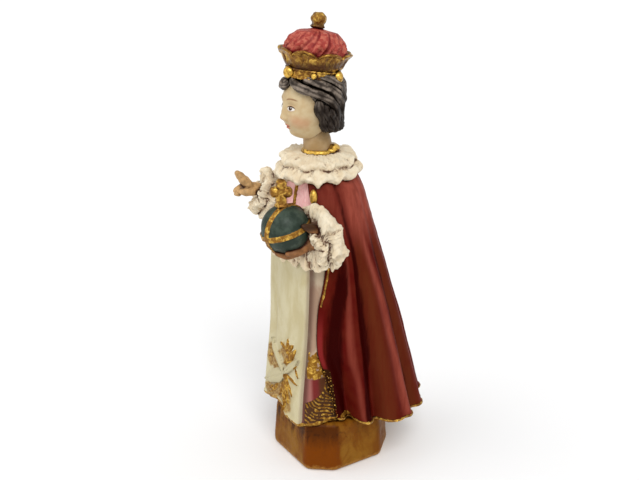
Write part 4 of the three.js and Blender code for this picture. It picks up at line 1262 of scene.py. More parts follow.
def piping_on_lines(add, given):
    """Cord along lines, with lumps in its width."""
    line = add("GeometryNodeMeshToCurve", {"Mesh": given["Geometry"]})
    even = add("GeometryNodeResampleCurve", {"Curve": line, "Length": given["Step"]}, mode="LENGTH")
    place = add("GeometryNodeInputPosition", {})
    bumps = add("ShaderNodeTexNoise", {"Vector": place, "Scale": given["Lumps"]}, 0)
    width = add("ShaderNodeMapRange", {"Value": bumps, 1: 0.3, 2: 0.7, 3: given["Least"], 4: 1.0})
    section = add("GeometryNodeCurvePrimitiveCircle", {"Resolution": 14, "Radius": given["Radius"]})
    settings = {"Curve": even, "Profile Curve": section, "Scale": width, "Fill Caps": True}
    tube = add("GeometryNodeCurveToMesh", settings)
    return add("GeometryNodeSetShadeSmooth", {0: tube})


def grown(name, lines, group, values, material):
    """An object that a geometry group grows along lines of points, kept as its own mesh."""
    points = np.concatenate(lines) * MM
    edges, first = [], 0
    for line in lines:
        edges += [(i, i + 1) for i in range(first, first + len(line) - 1)]
        first += len(line)
    mesh = bpy.data.meshes.new(name)
    mesh.from_pydata(points.tolist(), edges, [])
    made = bpy.data.objects.new(name, mesh)
    bpy.context.scene.collection.objects.link(made)
    modifier = made.modifiers.new("grown", "NODES")
    modifier.node_group = group
    for socket in group.interface.items_tree:
        if socket.name in values:
            modifier[socket.identifier] = values[socket.name]
        elif socket.name == "Material":
            modifier[socket.identifier] = material
    evaluated = made.evaluated_get(bpy.context.evaluated_depsgraph_get())
    made_mesh = bpy.data.meshes.new_from_object(evaluated)
    made.modifiers.clear()
    made.data = made_mesh
    return made


def cape_line(nominal, heights, proud):
    """Points up the cape's face, proud of it, at one place round it."""
    nominal = nominal + 0 * heights
    return body_points(cape_angle(nominal, heights), cape_shape(nominal, heights) + proud, heights)


# How far the cape's rounded lip goes beyond its edge, as an angle
LIP_ANGLE = 2.2


def border_points(away, heights, sign):
    """Points up the beaded border, on whichever of gown and cape lies outside there."""
    side = border_line(heights) + away
    edge = cape_edge(heights)
    nominal = lerp(FULL_EDGE, SIDE, (side - edge) / (SIDE - edge))
    on_cape = cape_shape(np.maximum(nominal, FULL_EDGE), heights)
    reach = np.where(side > edge - LIP_ANGLE, on_cape, gown_reach(side, heights))
    return body_points(sign * side, reach + 0.1, heights)


def made_edge_beads(group, material):
    """Three rows of beads up each side's dark border."""
    heights = np.linspace(1.4, BORDER_TOP, 60)
    lines = [border_points(away, heights, sign) for sign in (1, -1) for away in (-2.6, 0, 2.6)]
    sizes = {"Spacing": 0.8 * MM, "Bead radius": 0.28 * MM, "Scatter": 0.3 * MM}
    return grown("edge_beads", lines, group, {**sizes, "Unevenness": 0.75, "Seed": 4}, material)


def made_piping(group, material):
    """Gilt cord round the cape's hem and up the upper part of its front edges."""
    round_hem = np.linspace(FULL_EDGE + 0.5, 359.5 - FULL_EDGE, 400)
    z = 0.9 + 0 * round_hem
    hem = body_points(cape_angle(round_hem, z), cape_shape(round_hem, z) + 0.15, z)
    heights = np.linspace(34, 60, 120)
    edges = [cape_line(nominal, heights, -0.15) for nominal in (FULL_EDGE, 360 - FULL_EDGE)]
    values = {"Step": 0.25 * MM, "Radius": 0.4 * MM, "Least": 0.5, "Lumps": 900.0}
    return grown("gilt_piping", [hem] + edges, group, values, material)


# Paint

class Paint:
    """A material's node tree, with short names for the nodes that it needs."""

    def __init__(self, name, metallic=0.0, coat=0.0, specular=0.5):
        self.material = bpy.data.materials.new(name)
        self.material.use_nodes = True
        self.tree = self.material.node_tree
        self.shader = self.tree.nodes["Principled BSDF"]
        self.shader.inputs["Coat Weight"].default_value = coat
        self.shader.inputs["Coat Roughness"].default_value = 0.25
        self.shader.inputs["Specular IOR Level"].default_value = specular
        self.shader.inputs["Metallic"].default_value = metallic
        self.place = self.tree.nodes.new("ShaderNodeTexCoord").outputs["Object"]

    def add(self, kind, inputs, output=0, **settings):
        node = self.tree.nodes.new("ShaderNode" + kind)
        for key, value in settings.items():
            setattr(node, key, value)
        for key, value in inputs.items():
            self.feed(node.inputs[key], value)
        return node.outputs[output]

    def feed(self, socket, value):
        if isinstance(value, bpy.types.NodeSocket):
            self.tree.links.new(value, socket)
        else:
            socket.default_value = value

    def field(self, name):
        return self.add("Attribute", {}, "Fac", attribute_name=name)

    def in_millimetres(self):
        return self.add("Mapping", {"Vector": self.place, "Scale": (1 / MM, 1 / MM, 1 / MM)})

    def moved(self, matrix):
        """Object coordinates in millimetres, seen from a frame."""
        location, turn, _ = matrix.inverted().decompose()
        spun = self.add("Mapping", {"Vector": self.in_millimetres(), "Rotation": tuple(turn.to_euler())})
        return self.add("Mapping", {"Vector": spun, "Location": tuple(location)})

    def noise(self, size, detail=3.0, stretch=(1, 1, 1), warp=0.0, roughness=0.55):
        scale = tuple(1 / MM / size / s for s in stretch)
        vector = self.add("Mapping", {"Vector": self.place, "Scale": scale})
        settings = {"Vector": vector, "Scale": 1.0, "Detail": detail, "Distortion": warp}
        return self.add("TexNoise", {**settings, "Roughness": roughness}, "Fac")

    def axes(self, place):
        """A place's X, Y and Z."""
        node = self.tree.nodes.new("ShaderNodeSeparateXYZ")
        self.feed(node.inputs[0], place)
        return node.outputs

    def step(self, value, low, high, to_low=0.0, to_high=1.0):
        """Smooth from one value to another as a value goes from low to high."""
        settings = {"Value": value, "From Min": low, "From Max": high, "To Min": to_low, "To Max": to_high}
        return self.add("MapRange", settings, interpolation_type="SMOOTHSTEP")

    def sums(self, kind, a, b=0.0, c=0.0):
        return self.add("Math", {0: a, 1: b, 2: c}, operation=kind)

    def times(self, a, b):
        return self.sums("MULTIPLY", a, b)

    def larger(self, a, b):
        return self.sums("MAXIMUM", a, b)

    def mix(self, share, a, b):
        node = self.tree.nodes.new("ShaderNodeMix")
        node.data_type = "RGBA"
        self.feed(node.inputs["Factor"], share)
        self.feed(node.inputs[6], shade(a))
        self.feed(node.inputs[7], shade(b))
        return node.outputs[2]

    def finish(self, colour, roughness, height=None, depth=0.1):
        self.feed(self.shader.inputs["Base Color"], shade(colour))
        self.feed(self.shader.inputs["Roughness"], roughness)
        if height is not None:
            normal = self.add("Bump", {"Height": height, "Strength": 1.0, "Distance": depth * MM}, "Normal")
            self.feed(self.shader.inputs["Normal"], normal)
        return self.material


def shade(colour):
    return colour if isinstance(colour, bpy.types.NodeSocket) else (*colour, 1.0)


# Colours, in linear light
CRIMSON = (0.082, 0.0036, 0.0022)
CRIMSON_WARM = (0.10, 0.009, 0.004)
CRIMSON_DEEP = (0.024, 0.0004, 0.0002)
CRIMSON_LIGHT = (0.29, 0.062, 0.040)
CRIMSON_EDGE_HIGHLIGHT = (0.24, 0.02, 0.02)
CRIMSON_BROWN = (0.105, 0.019, 0.006)
BEAD_GROUND_AND_SHADOW = (0.028, 0.008, 0.002)
IVORY = (0.49, 0.42, 0.24)
IVORY_LIGHT = (0.57, 0.51, 0.33)
IVORY_SHADE = (0.30, 0.22, 0.16)
PETAL = (0.50, 0.44, 0.27)
PETAL_SHADE = (0.13, 0.09, 0.035)
OCHRE = (0.42, 0.26, 0.07)
OCHRE_DEEP = (0.22, 0.10, 0.02)
MAUVE = (0.50, 0.40, 0.28)
MAUVE_WARM = (0.38, 0.25, 0.17)
MAUVE_SHADE = (0.07, 0.025, 0.016)
BLUSH = (0.16, 0.018, 0.016)
BLUSH_LIGHT = (0.32, 0.12, 0.10)
BLUSH_BROWN = (0.09, 0.028, 0.009)
SWAG_BROWN = (0.065, 0.024, 0.007)
PINK = (0.99, 0.62, 0.60)
PINK_SHADE = (0.93, 0.52, 0.51)
GILT = (0.25, 0.11, 0.013)
GILT_LIGHT = (0.80, 0.50, 0.09)
GILT_DEEP = (0.05, 0.014, 0.0015)
GILT_SHADE = (0.055, 0.016, 0.003)
GILT_WARM = (0.13, 0.055, 0.012)
LACE = (0.75, 0.62, 0.43)
LACE_LIGHT = (0.83, 0.73, 0.55)
LACE_SHADE = (0.22, 0.12, 0.075)
SLEEVE = (0.34, 0.17, 0.17)
SLEEVE_LIGHT = (0.46, 0.31, 0.29)
SLEEVE_DEEP = (0.07, 0.008, 0.006)
SKIN = (0.51, 0.37, 0.20)
SKIN_LIGHT = (0.56, 0.44, 0.26)
# The neck's skin, painted darker than the face's as shade under the chin
SHADED_NECK_SKIN = (0.36, 0.23, 0.10)
SHADED_NECK_LIGHT = (0.42, 0.29, 0.15)
SKIN_SHADE = (0.34, 0.16, 0.08)
# The left hand's skin, darker than the right's and darker still on top: painted shade
SHADED_LEFT_SKIN = (0.19, 0.082, 0.03)
SHADED_LEFT_SKIN_TOP = (0.045, 0.017, 0.005)
RIGHT_SKIN = (0.38, 0.23, 0.10)
HAND_SHADE = (0.05, 0.014, 0.008)
HAIR = (0.008, 0.0035, 0.0015)
HAIR_LIGHT = (0.31, 0.25, 0.20)
HAIR_DEEP = (0.004, 0.002, 0.001)
TEAL = (0.016, 0.028, 0.018)
TEAL_LIGHT = (0.045, 0.066, 0.048)
TEAL_DEEP = (0.006, 0.008, 0.007)
CAP = (0.33, 0.045, 0.034)
CAP_DEEP = (0.15, 0.006, 0.009)
CAP_LIGHT = (0.50, 0.13, 0.085)
STAIN = (0.165, 0.052, 0.003)
STAIN_DEEP = (0.035, 0.009, 0.001)
STAIN_RED = (0.16, 0.037, 0.0003)
STAIN_LIGHT = (0.235, 0.10, 0.010)
STAIN_WORN = (0.36, 0.17, 0.03)
# The face's own
CHEEK = (0.56, 0.21, 0.11)
NOSE_TIP = (0.58, 0.22, 0.13)
BROW = (0.22, 0.10, 0.045)
EYE_SOCKET_SHADE = (0.40, 0.20, 0.12)
EYE_WHITE = (0.78, 0.74, 0.68)
IRIS = (0.09, 0.035, 0.015)
PUPIL = (0.004, 0.003, 0.003)
GLINT = (0.9, 0.9, 0.9)
LASHES = (0.045, 0.018, 0.012)
LOWER_LID = (0.35, 0.15, 0.10)
LIPS = (0.50, 0.13, 0.08)
MOUTH_LINE = (0.18, 0.03, 0.02)

# Heights of the painted brown shade on the crown's lobes and on its knob: full at the first, faded out at
# the second
LOBE_SHADE = (108.2, 110.9)
KNOB_SHADE = (116.2, 119.8)


def gilded(paint, low=GILT_DEEP, worn=0.6, highlight_share=0.0):
    """Antique gilt: lighter in random patches, brown in worn patches and in what lies deep."""
    # The light patches are partly a painted highlight; the brown in what lies deep is wash with painted
    # shade
    patches = paint.noise(1.1, 4, warp=0.6)
    colour = paint.mix(paint.step(patches, 0.46 - highlight_share, 0.74 - highlight_share), GILT, GILT_LIGHT)
    lying = paint.sums("ADD", paint.step(patches, 0.62, 0.3, -0.15, 0.5 * worn), paint.field("hollow"))
    return paint.mix(paint.step(lying, 0.15, 0.75), colour, low)


def gilt_paint(name, worn, highlight_share=0.0, shaded_between=None):
    """Antique gilt, which may be painted a brown shade between two heights in millimetres, fading upwards.
    """
    paint = Paint(name, metallic=0.7, coat=0.1, specular=0.3)
    height = paint.noise(0.6, 4)
    colour = gilded(paint, worn=worn, highlight_share=highlight_share)
    if shaded_between:
        foot, top = shaded_between
        # Painted shade: brown from the first height up, fading out by the second
        up = paint.sums("MULTIPLY_ADD", height, 1.6 * MM, paint.axes(paint.place)[2])
        brown = paint.step(up, lerp(foot, top, 0.2) * MM, top * MM, 0.9, 0.0)
        brown = paint.times(brown, paint.step(up, (foot - 0.8) * MM, foot * MM))
        colour = paint.mix(brown, colour, GILT_SHADE)
    return paint.finish(colour, paint.step(height, 0.3, 0.7, 0.28, 0.46), height, 0.14)


def cape_paint():
    paint = Paint("crimson_cape", specular=0.02)
    hollow, height, edge = paint.field("hollow"), paint.field("height"), paint.field("edge")
    streak = paint.noise(1.3, 4, stretch=(1, 1, 7), warp=0.3)
    fine = paint.noise(0.7, 3, stretch=(1, 1, 5))
    base = paint.mix(paint.step(paint.noise(6, 3), 0.35, 0.65), CRIMSON, CRIMSON_WARM)
    brown = paint.times(paint.field("brown"), paint.step(streak, 0.3, 0.6, 0.6, 1.0))
    base = paint.mix(brown, base, CRIMSON_BROWN)
    # Painted highlight: the rosy bands, in streaks
    rose = paint.times(paint.field("rose"), paint.step(streak, 0.34, 0.66, 0.62, 1.0))
    base = paint.mix(rose, base, CRIMSON_LIGHT)
    # Painted highlight along the rounded front edge, between two heights
    edge_highlight = paint.times(paint.step(edge, 1.2, 0.5), paint.step(height, 15, 18))
    edge_highlight = paint.times(edge_highlight, paint.step(height, 34, 24))
    base = paint.mix(paint.times(edge_highlight, 0.7), base, CRIMSON_EDGE_HIGHLIGHT)
    # Painted shade: the dark bands in the grooves, with wash and painted shade in hollows
    dark = paint.sums("MULTIPLY_ADD", paint.step(streak, 0.4, 0.6, -0.5, 0.5), 0.22, paint.field("dark"))
    deep = paint.larger(paint.step(dark, 0.15, 0.8), paint.step(hollow, 0.3, 0.8))
    base = paint.mix(paint.times(deep, 0.94), base, CRIMSON_DEEP)
    ragged = paint.noise(0.8, 3)
    # The beaded border's dark ground, partly a painted shadow between gown and cape
    base = paint.mix(paint.step(paint.field("border"), 0.15, 0.4), base, BEAD_GROUND_AND_SHADOW)
    hem = paint.sums("MULTIPLY_ADD", ragged, 0.7, height)
    patch = paint.sums("MULTIPLY_ADD", ragged, 0.5, paint.field("patch"))
    gold = paint.larger(paint.step(hem, 1.7, 1.45), paint.step(patch, 0.55, 0.7))
    colour = paint.mix(gold, base, gilded(paint))
    paint.feed(paint.shader.inputs["Metallic"], paint.times(gold, 0.6))
    return paint.finish(colour, 0.46, fine, 0.03)


def gown_paint():
    paint = Paint("painted_gown", specular=0.12)
    inset, hollow, height = paint.field("inset"), paint.field("hollow"), paint.field("height")
    cloud = paint.noise(4.5, 4, stretch=(1, 1, 2.2), warp=0.4)
    fine = paint.noise(0.8, 4)
    ivory = paint.mix(paint.step(cloud, 0.35, 0.65), IVORY, IVORY_LIGHT)
    # Painted shade along the panel's edges, with wash and painted shade in hollows
    near_edge = paint.larger(paint.step(inset, 0.9, 0.0, 0.0, 0.6), paint.step(hollow, 0.25, 0.8))
    ivory = paint.mix(near_edge, ivory, IVORY_SHADE)
    ochre = paint.mix(paint.step(fine, 0.4, 0.6), OCHRE, OCHRE_DEEP)
    ivory = paint.mix(paint.times(paint.field("ground"), 0.9), ivory, ochre)
    mauve = paint.mix(paint.step(cloud, 0.4, 0.6), MAUVE, MAUVE_WARM)
    bodice = paint.step(height, WAIST - 1, WAIST + 1.5)
    mauve = paint.mix(bodice, mauve, paint.mix(paint.step(fine, 0.35, 0.65), PINK, PINK_SHADE))
    # Below the gilt spray the strip turns from pale pink through crimson to brown
    round_it = paint.field("side")
    blush = paint.mix(paint.step(round_it, 33.0, 36.5), BLUSH_LIGHT, BLUSH)
    blush = paint.mix(paint.step(round_it, 38.5, 41.5), blush, BLUSH_BROWN)
    mauve = paint.mix(paint.step(height, 14.2, 13.2), mauve, blush)
    mauve = paint.mix(paint.step(paint.field("swag"), 0.2, 0.7), mauve, SWAG_BROWN)
    # Painted shade in the groove beside the panel's edge
    groove = paint.times(paint.step(inset, -2.0, -0.5), paint.step(height, WAIST, WAIST - 3, 0.0, 0.75))
    mauve = paint.mix(groove, mauve, MAUVE_SHADE)
    # Wash and painted shade in hollows below the waist
    sunk = paint.times(paint.step(hollow, 0.25, 0.75), paint.step(height, WAIST - 1, WAIST + 2, 1.0, 0.0))
    mauve = paint.mix(sunk, mauve, MAUVE_SHADE)
    # The beaded border's dark ground, partly a painted shadow between gown and cape
    mauve = paint.mix(paint.step(paint.field("border"), 0.15, 0.4), mauve, BEAD_GROUND_AND_SHADOW)
    on_panel = paint.times(paint.step(inset, -0.12, 0.02), paint.step(height, WAIST, WAIST - 0.5))
    colour = paint.mix(on_panel, mauve, ivory)
    petal = paint.mix(paint.step(hollow, 0.12, 0.5), PETAL, PETAL_SHADE)
    colour = paint.mix(paint.step(paint.field("flower"), 0.15, 0.35), colour, petal)
    lace = paint.mix(paint.step(paint.sums("MULTIPLY_ADD", fine, 0.5, hollow), 0.3, 0.7), LACE, LACE_SHADE)
    colour = paint.mix(paint.step(paint.field("flounce"), 0.3, 0.6), colour, lace)
    ragged = paint.sums("MULTIPLY_ADD", fine, 0.5, -0.25)
    gold = paint.step(paint.sums("ADD", paint.field("gilt"), ragged), 0.3, 0.42)
    colour = paint.mix(gold, colour, gilded(paint))
    paint.feed(paint.shader.inputs["Metallic"], paint.times(gold, 0.55))
    return paint.finish(colour, paint.step(fine, 0.3, 0.7, 0.45, 0.6), fine, 0.05)


def lace_paint():
    paint = Paint("cream_lace", specular=0.15)
    hollow = paint.field("hollow")
    weave = paint.noise(0.42, 4, warp=1.2)
    cloud = paint.noise(2.4, 3)
    colour = paint.mix(paint.step(cloud, 0.35, 0.65), LACE, LACE_LIGHT)
    # Wash and painted shade in hollows, with darker weave and clouds
    wash_and_shade = paint.sums("ADD", hollow, paint.step(weave, 0.36, 0.6, 0.22, -0.06))
    wash_and_shade = paint.sums("ADD", wash_and_shade, paint.step(cloud, 0.6, 0.35, -0.05, 0.1))
    colour = paint.mix(paint.step(wash_and_shade, 0.3, 0.85), colour, LACE_SHADE)
    return paint.finish(colour, 0.65, weave, 0.25)


def sleeve_paint():
    paint = Paint("mauve_sleeve", specular=0.15)
    cloud = paint.noise(1.8, 3)
    colour = paint.mix(paint.step(cloud, 0.4, 0.6), SLEEVE, SLEEVE_LIGHT)
    # Wash and painted shade in hollows
    colour = paint.mix(paint.step(paint.field("hollow"), 0.2, 0.7), colour, SLEEVE_DEEP)
    return paint.finish(colour, 0.5, cloud, 0.08)


def hand_paint(name, colour, top=None):
    """Skin of a hand, in one tone with lighter clouds, or in another, painted shade tone over the orb's
    middle.
    """
    paint = Paint(name, coat=0.04, specular=0.15)
    cloud = paint.noise(1.2, 3)
    lighter = tuple(1.5 * part for part in colour)
    tone = paint.mix(paint.step(cloud, 0.35, 0.65), colour, lighter)
    if top:
        z = paint.axes(paint.place)[2]
        over = paint.step(z, ORB_CENTRE[2] * MM, (ORB_CENTRE[2] + 1.5) * MM)
        tone = paint.mix(over, tone, top)
    tone = paint.mix(paint.step(paint.field("hollow"), 0.12, 0.65), tone, HAND_SHADE)
    return paint.finish(tone, 0.45, cloud, 0.06)


def orb_paint():
    paint = Paint("teal_orb", coat=0.05, specular=0.2)
    cloud = paint.noise(2.6, 4)
    fine = paint.noise(0.7, 4)
    colour = paint.mix(paint.step(cloud, 0.4, 0.7), TEAL, TEAL_LIGHT)
    # Wash and painted shade in hollows
    colour = paint.mix(paint.step(paint.field("hollow"), 0.3, 0.8), colour, TEAL_DEEP)
    gold = paint.sums("ADD", paint.field("gilt"), paint.step(fine, 0.3, 0.7, -0.25, 0.15))
    gold = paint.step(gold, 0.35, 0.55)
    colour = paint.mix(gold, colour, gilded(paint, low=GILT_WARM, worn=0.3))
    paint.feed(paint.shader.inputs["Metallic"], paint.times(gold, 0.55))
    return paint.finish(colour, paint.step(fine, 0.3, 0.7, 0.42, 0.54), fine, 0.06)


def hair_paint():
    paint = Paint("dark_hair", specular=0.1)
    strand = paint.field("strand")
    fine = paint.noise(0.5, 3)
    cloud = paint.noise(1.9, 3)
    z = paint.axes(paint.moved(HEAD))[2]
    # Painted highlight, partly dry-brushed paint: light on the strands' crests in patches, most on top
    lit = paint.times(paint.step(strand, 1.0, 0.3, 0.3, 1.0), paint.step(fine, 0.3, 0.6, 0.75, 1.0))
    lit = paint.times(lit, paint.step(cloud, 0.36, 0.66, 0.15, 0.9))
    lit = paint.times(lit, paint.step(z, -1, 4.5, 0.16, 1.0))
    colour = paint.mix(lit, HAIR, HAIR_LIGHT)
    # Wash and painted shade in hollows
    colour = paint.mix(paint.step(paint.field("hollow"), 0.25, 0.75), colour, HAIR_DEEP)
    return paint.finish(colour, 0.42, fine, 0.12)


def cap_paint():
    paint = Paint("rose_cap", specular=0.12)
    gather, hollow = paint.field("gather"), paint.field("hollow")
    brush = paint.noise(1.3, 4, warp=1.0)
    colour = paint.mix(paint.step(brush, 0.4, 0.62), CAP, CAP_LIGHT)
    # Painted shade in the cap's creases, with wash and painted shade in hollows
    deep = paint.larger(paint.step(gather, -0.2, -1.3, 0.0, 0.85), paint.step(hollow, 0.2, 0.7))
    colour = paint.mix(deep, colour, CAP_DEEP)
    return paint.finish(colour, 0.45, brush, 0.16)


# The slope of the near left chamfer, as depth over width, and how far across it its stain begins
CHAMFER_SLOPE = (BASE_DEPTH / 2 + BASE_LEFT_ENDS[0]) / (BASE_WIDTH / 2 - BASE_FRONT_ENDS[1])
CORNER_STAIN = 24.4


def base_paint():
    paint = Paint("stained_base", coat=0.02, specular=0.05)
    hollow = paint.field("hollow")
    x, y, z = paint.axes(paint.in_millimetres())
    cloud = paint.noise(5, 4, stretch=(1, 1, 1.6), warp=0.5)
    fine = paint.noise(1.3, 5, warp=0.8)
    drips = paint.noise(1.8, 3, stretch=(1, 1, 3), warp=0.4)
    colour = paint.mix(paint.step(cloud, 0.35, 0.65), STAIN, STAIN_LIGHT)
    # The stain pooled red on the near left corner, darker towards its top in part as painted shade, and
    # dripped over the front
    across = paint.sums("MULTIPLY_ADD", x, CHAMFER_SLOPE, paint.times(y, -1.0))
    wavering = paint.sums("MULTIPLY_ADD", drips, 1.6, across)
    corner = paint.step(wavering, CORNER_STAIN + 0.1, CORNER_STAIN + 1.5)
    stain_and_shade_rise = paint.sums("MULTIPLY_ADD", drips, 6.0, z)
    colour = paint.mix(corner, colour, STAIN_RED)
    colour = paint.mix(paint.times(corner, paint.step(stain_and_shade_rise, 9, 15, 0.0, 0.7)), colour, STAIN_DEEP)
    front = paint.step(y, -13.0, -13.5)
    dripped = paint.times(paint.step(drips, 0.5, 0.62), paint.step(z, 5, 12))
    colour = paint.mix(paint.times(paint.times(front, dripped), 0.9), colour, STAIN_DEEP)
    worn = paint.sums("MULTIPLY_ADD", fine, -3.2, z)
    colour = paint.mix(paint.step(worn, 0.2, -0.9, 0.0, 0.8), colour, STAIN_WORN)
    # Random dark blotches, and wash with painted shade in hollows
    blotch = paint.times(paint.step(fine, 0.52, 0.7, 0.0, 0.6), paint.step(z, 3, 13))
    colour = paint.mix(paint.larger(blotch, paint.step(hollow, 0.3, 0.85)), colour, STAIN_DEEP)
    return paint.finish(colour, paint.step(fine, 0.3, 0.7, 0.32, 0.48), fine, 0.08)


def skin_paint(name, tones, with_face=False):
    paint = Paint(name, coat=0.04, specular=0.15)
    cloud = paint.noise(2.5, 3)
    colour = paint.mix(paint.step(cloud, 0.35, 0.65), *tones)
    shaded = paint.step(paint.field("hollow"), 0.35, 0.95, 0.0, 0.2 if with_face else 0.5)
    colour = paint.mix(shaded, colour, SKIN_SHADE)
    if with_face:
        colour = painted_face(paint, colour)
    return paint.finish(colour, 0.42, cloud, 0.02)


def painted_face(paint, colour):
    """Eyes, brows, lips and cheeks of a calm, generic child's face, in the head's own frame."""
    x, y, z = paint.axes(paint.moved(HEAD))
    side = paint.sums("ABSOLUTE", x)
    front = paint.step(y, -1.5, -3.0)

    def spot(left, up, width, height, soft):
        """1 inside an ellipse on either side of the face, fading to 0 over a share of its size."""
        u = paint.sums("DIVIDE", paint.sums("SUBTRACT", side, left), width)
        v = paint.sums("DIVIDE", paint.sums("SUBTRACT", z, up), height)
        away = paint.sums("SQRT", paint.sums("ADD", paint.times(u, u), paint.times(v, v)))
        return paint.times(paint.step(away, 1.0, 1.0 - soft), front)

    def arc(left, up, bend, width, thick, slope=0.0):
        """A bent stroke, thick in its middle and thin at its ends."""
        u = paint.sums("SUBTRACT", side, left)
        line = paint.sums("MULTIPLY_ADD", paint.times(u, u), -bend, up)
        line = paint.sums("MULTIPLY_ADD", u, slope, line)
        off = paint.sums("ABSOLUTE", paint.sums("SUBTRACT", z, line))
        fade = paint.step(paint.sums("ABSOLUTE", u), width, width * 0.6)
        inked = paint.step(off, thick, thick * 0.4)
        return paint.times(paint.times(inked, fade), front)

    eye = spot(2.35, -0.78, 1.15, 0.62, 0.18)
    iris = paint.times(spot(2.35, -0.68, 0.56, 0.56, 0.15), eye)
    pupil = paint.times(spot(2.35, -0.68, 0.28, 0.28, 0.25), eye)
    lips = paint.larger(spot(0.4, -5.22, 0.9, 0.34, 0.35), spot(0, -5.82, 1.05, 0.4, 0.35))
    strokes = [
        (paint.times(spot(3.8, -3.9, 3.0, 2.6, 1.0), 0.42), CHEEK),
        (paint.times(spot(0, -3.6, 1.2, 0.8, 0.9), 0.25), NOSE_TIP),
        (paint.times(arc(2.5, 1.6, 0.16, 1.7, 0.26, 0.04), 0.75), BROW),
        # Painted shade in each eye socket
        (paint.times(spot(2.35, -0.55, 1.5, 1.0, 0.8), 0.3), EYE_SOCKET_SHADE),
        (eye, EYE_WHITE),
        (iris, IRIS),
        (pupil, PUPIL),
        (spot(2.52, -0.5, 0.14, 0.14, 0.4), GLINT),
        (arc(2.35, -0.2, 0.36, 1.35, 0.17), LASHES),
        (paint.times(arc(2.35, -1.36, -0.3, 1.05, 0.1), 0.5), LOWER_LID),
        (paint.times(lips, 0.8), LIPS),
        (paint.times(arc(0, -5.5, -0.05, 1.25, 0.09), 0.75), MOUTH_LINE),
    ]
    for share, tone in strokes:
        colour = paint.mix(share, colour, tone)
    return colour


# How deep each point lies among the pieces: brown wash in hollows, with painted shade where they close in

WASH_AND_SHADE_REACH = 2.2
WASH_AND_SHADE_RAYS = 10
WASH_AND_SHADE_LIFT = 0.04
WASH_AND_SHADE_STRENGTH = 1.6


def settle_wash_and_shade(pieces):
    """Stores how much of the way out of each point is closed off near it by the pieces."""
    corners, faces, first = [], [], 0
    for piece in pieces:
        mesh = piece.data
        mesh.calc_loop_triangles()
        triangles = np.empty(len(mesh.loop_triangles) * 3, np.int32)
        mesh.loop_triangles.foreach_get("vertices", triangles)
        corners.append(vertices(piece))
        faces.append(triangles.reshape(-1, 3) + first)
        first += len(mesh.vertices)
    cast = BVHTree.FromPolygons(np.concatenate(corners).tolist(), np.concatenate(faces).tolist()).ray_cast
    golden = math.pi * (3 - math.sqrt(5))
    lifts = [math.sqrt(1 - ((k + 0.5) / WASH_AND_SHADE_RAYS)) for k in range(WASH_AND_SHADE_RAYS)]
    rays = [
        (math.cos(golden * k) * math.sqrt(1 - h * h), math.sin(golden * k) * math.sqrt(1 - h * h), h)
        for k, h in enumerate(lifts)
    ]
    for piece in pieces:
        points, normals = vertices(piece), read_vertices(piece, "normal")
        hidden = np.zeros(len(points))
        helper = np.where(np.abs(normals[:, :1]) < 0.8, [[1.0, 0, 0]], [[0, 1.0, 0]])
        side = np.cross(normals, helper)
        side /= np.maximum(np.linalg.norm(side, axis=1, keepdims=True), 1e-9)
        up = np.cross(normals, side)
        starts = (points + normals * WASH_AND_SHADE_LIFT).tolist()
        for a, b, h in rays:
            ways = (side * a + up * b + normals * h).tolist()
            near = [cast(s, w, WASH_AND_SHADE_REACH)[3] for s, w in zip(starts, ways)]
            hidden += [0.0 if d is None else 1 - d / WASH_AND_SHADE_REACH for d in near]
        store(piece, "hollow", np.clip(hidden / WASH_AND_SHADE_RAYS * WASH_AND_SHADE_STRENGTH, 0, 1))


# Setting, light and camera

def set_stage():
    mesh = bpy.data.meshes.new("floor")
    half = 3.0
    corners = [(-half, -half, 0), (half, -half, 0), (half, half, 0), (-half, half, 0)]
    mesh.from_pydata(corners, [], [(0, 1, 2, 3)])
    floor = bpy.data.objects.new("floor", mesh)
    bpy.context.scene.collection.objects.link(floor)
    paint = bpy.data.materials.new("pale_floor")
    paint.use_nodes = True
    paint.node_tree.nodes["Principled BSDF"].inputs["Base Color"].default_value = (0.93, 0.93, 0.93, 1)
    paint.node_tree.nodes["Principled BSDF"].inputs["Roughness"].default_value = 0.9
    floor.data.materials.append(paint)
    world = bpy.data.worlds.new("studio")
    world.use_nodes = True
    world.node_tree.nodes["Background"].inputs["Color"].default_value = (1, 1, 1, 1)
    world.node_tree.nodes["Background"].inputs["Strength"].default_value = 0.62
    bpy.context.scene.world = world


def set_light(name, azimuth, elevation, softness, strength):
    """A distant soft lamp, by its angle from the front (-Y) towards +X and its angle above level."""
    data = bpy.data.lights.new(name, "SUN")
    data.angle = math.radians(softness)
    data.energy = strength
    lamp = bpy.data.objects.new(name, data)
    lamp.rotation_euler = (math.radians(90 - elevation), 0, math.radians(azimuth))
    bpy.context.scene.collection.objects.link(lamp)


# The camera's place, fitted to the photograph: its azimuth, distance and height, how far it looks
# down, and the focal length in pixels of an image 640 wide
CAMERA_AZIMUTH = 57.4
CAMERA_DISTANCE = 231.0
CAMERA_ASIDE = -2.87
CAMERA_HEIGHT = 146.0
CAMERA_PITCH = 20.25
FOCAL_PIXELS = 932.0
IMAGE_WIDTH = 640
SENSOR = 36.0


def set_camera():
    data = bpy.data.cameras.new("camera")
    data.sensor_width = SENSOR
    data.lens = FOCAL_PIXELS / IMAGE_WIDTH * SENSOR
    camera = bpy.data.objects.new("camera", data)
    turn = math.radians(CAMERA_AZIMUTH)
    right = np.array([math.cos(turn), math.sin(turn)])
    toward = np.array([math.sin(turn), -math.cos(turn)])
    x, y = CAMERA_ASIDE * right + CAMERA_DISTANCE * toward
    camera.location = Vector((x, y, CAMERA_HEIGHT)) * MM
    camera.rotation_euler = (math.radians(90 - CAMERA_PITCH), 0, turn)
    data.clip_start = 0.01
    bpy.context.scene.collection.objects.link(camera)
    bpy.context.scene.camera = camera


def coloured(piece, material):
    piece.data.materials.clear()
    piece.data.materials.append(material)
    return piece


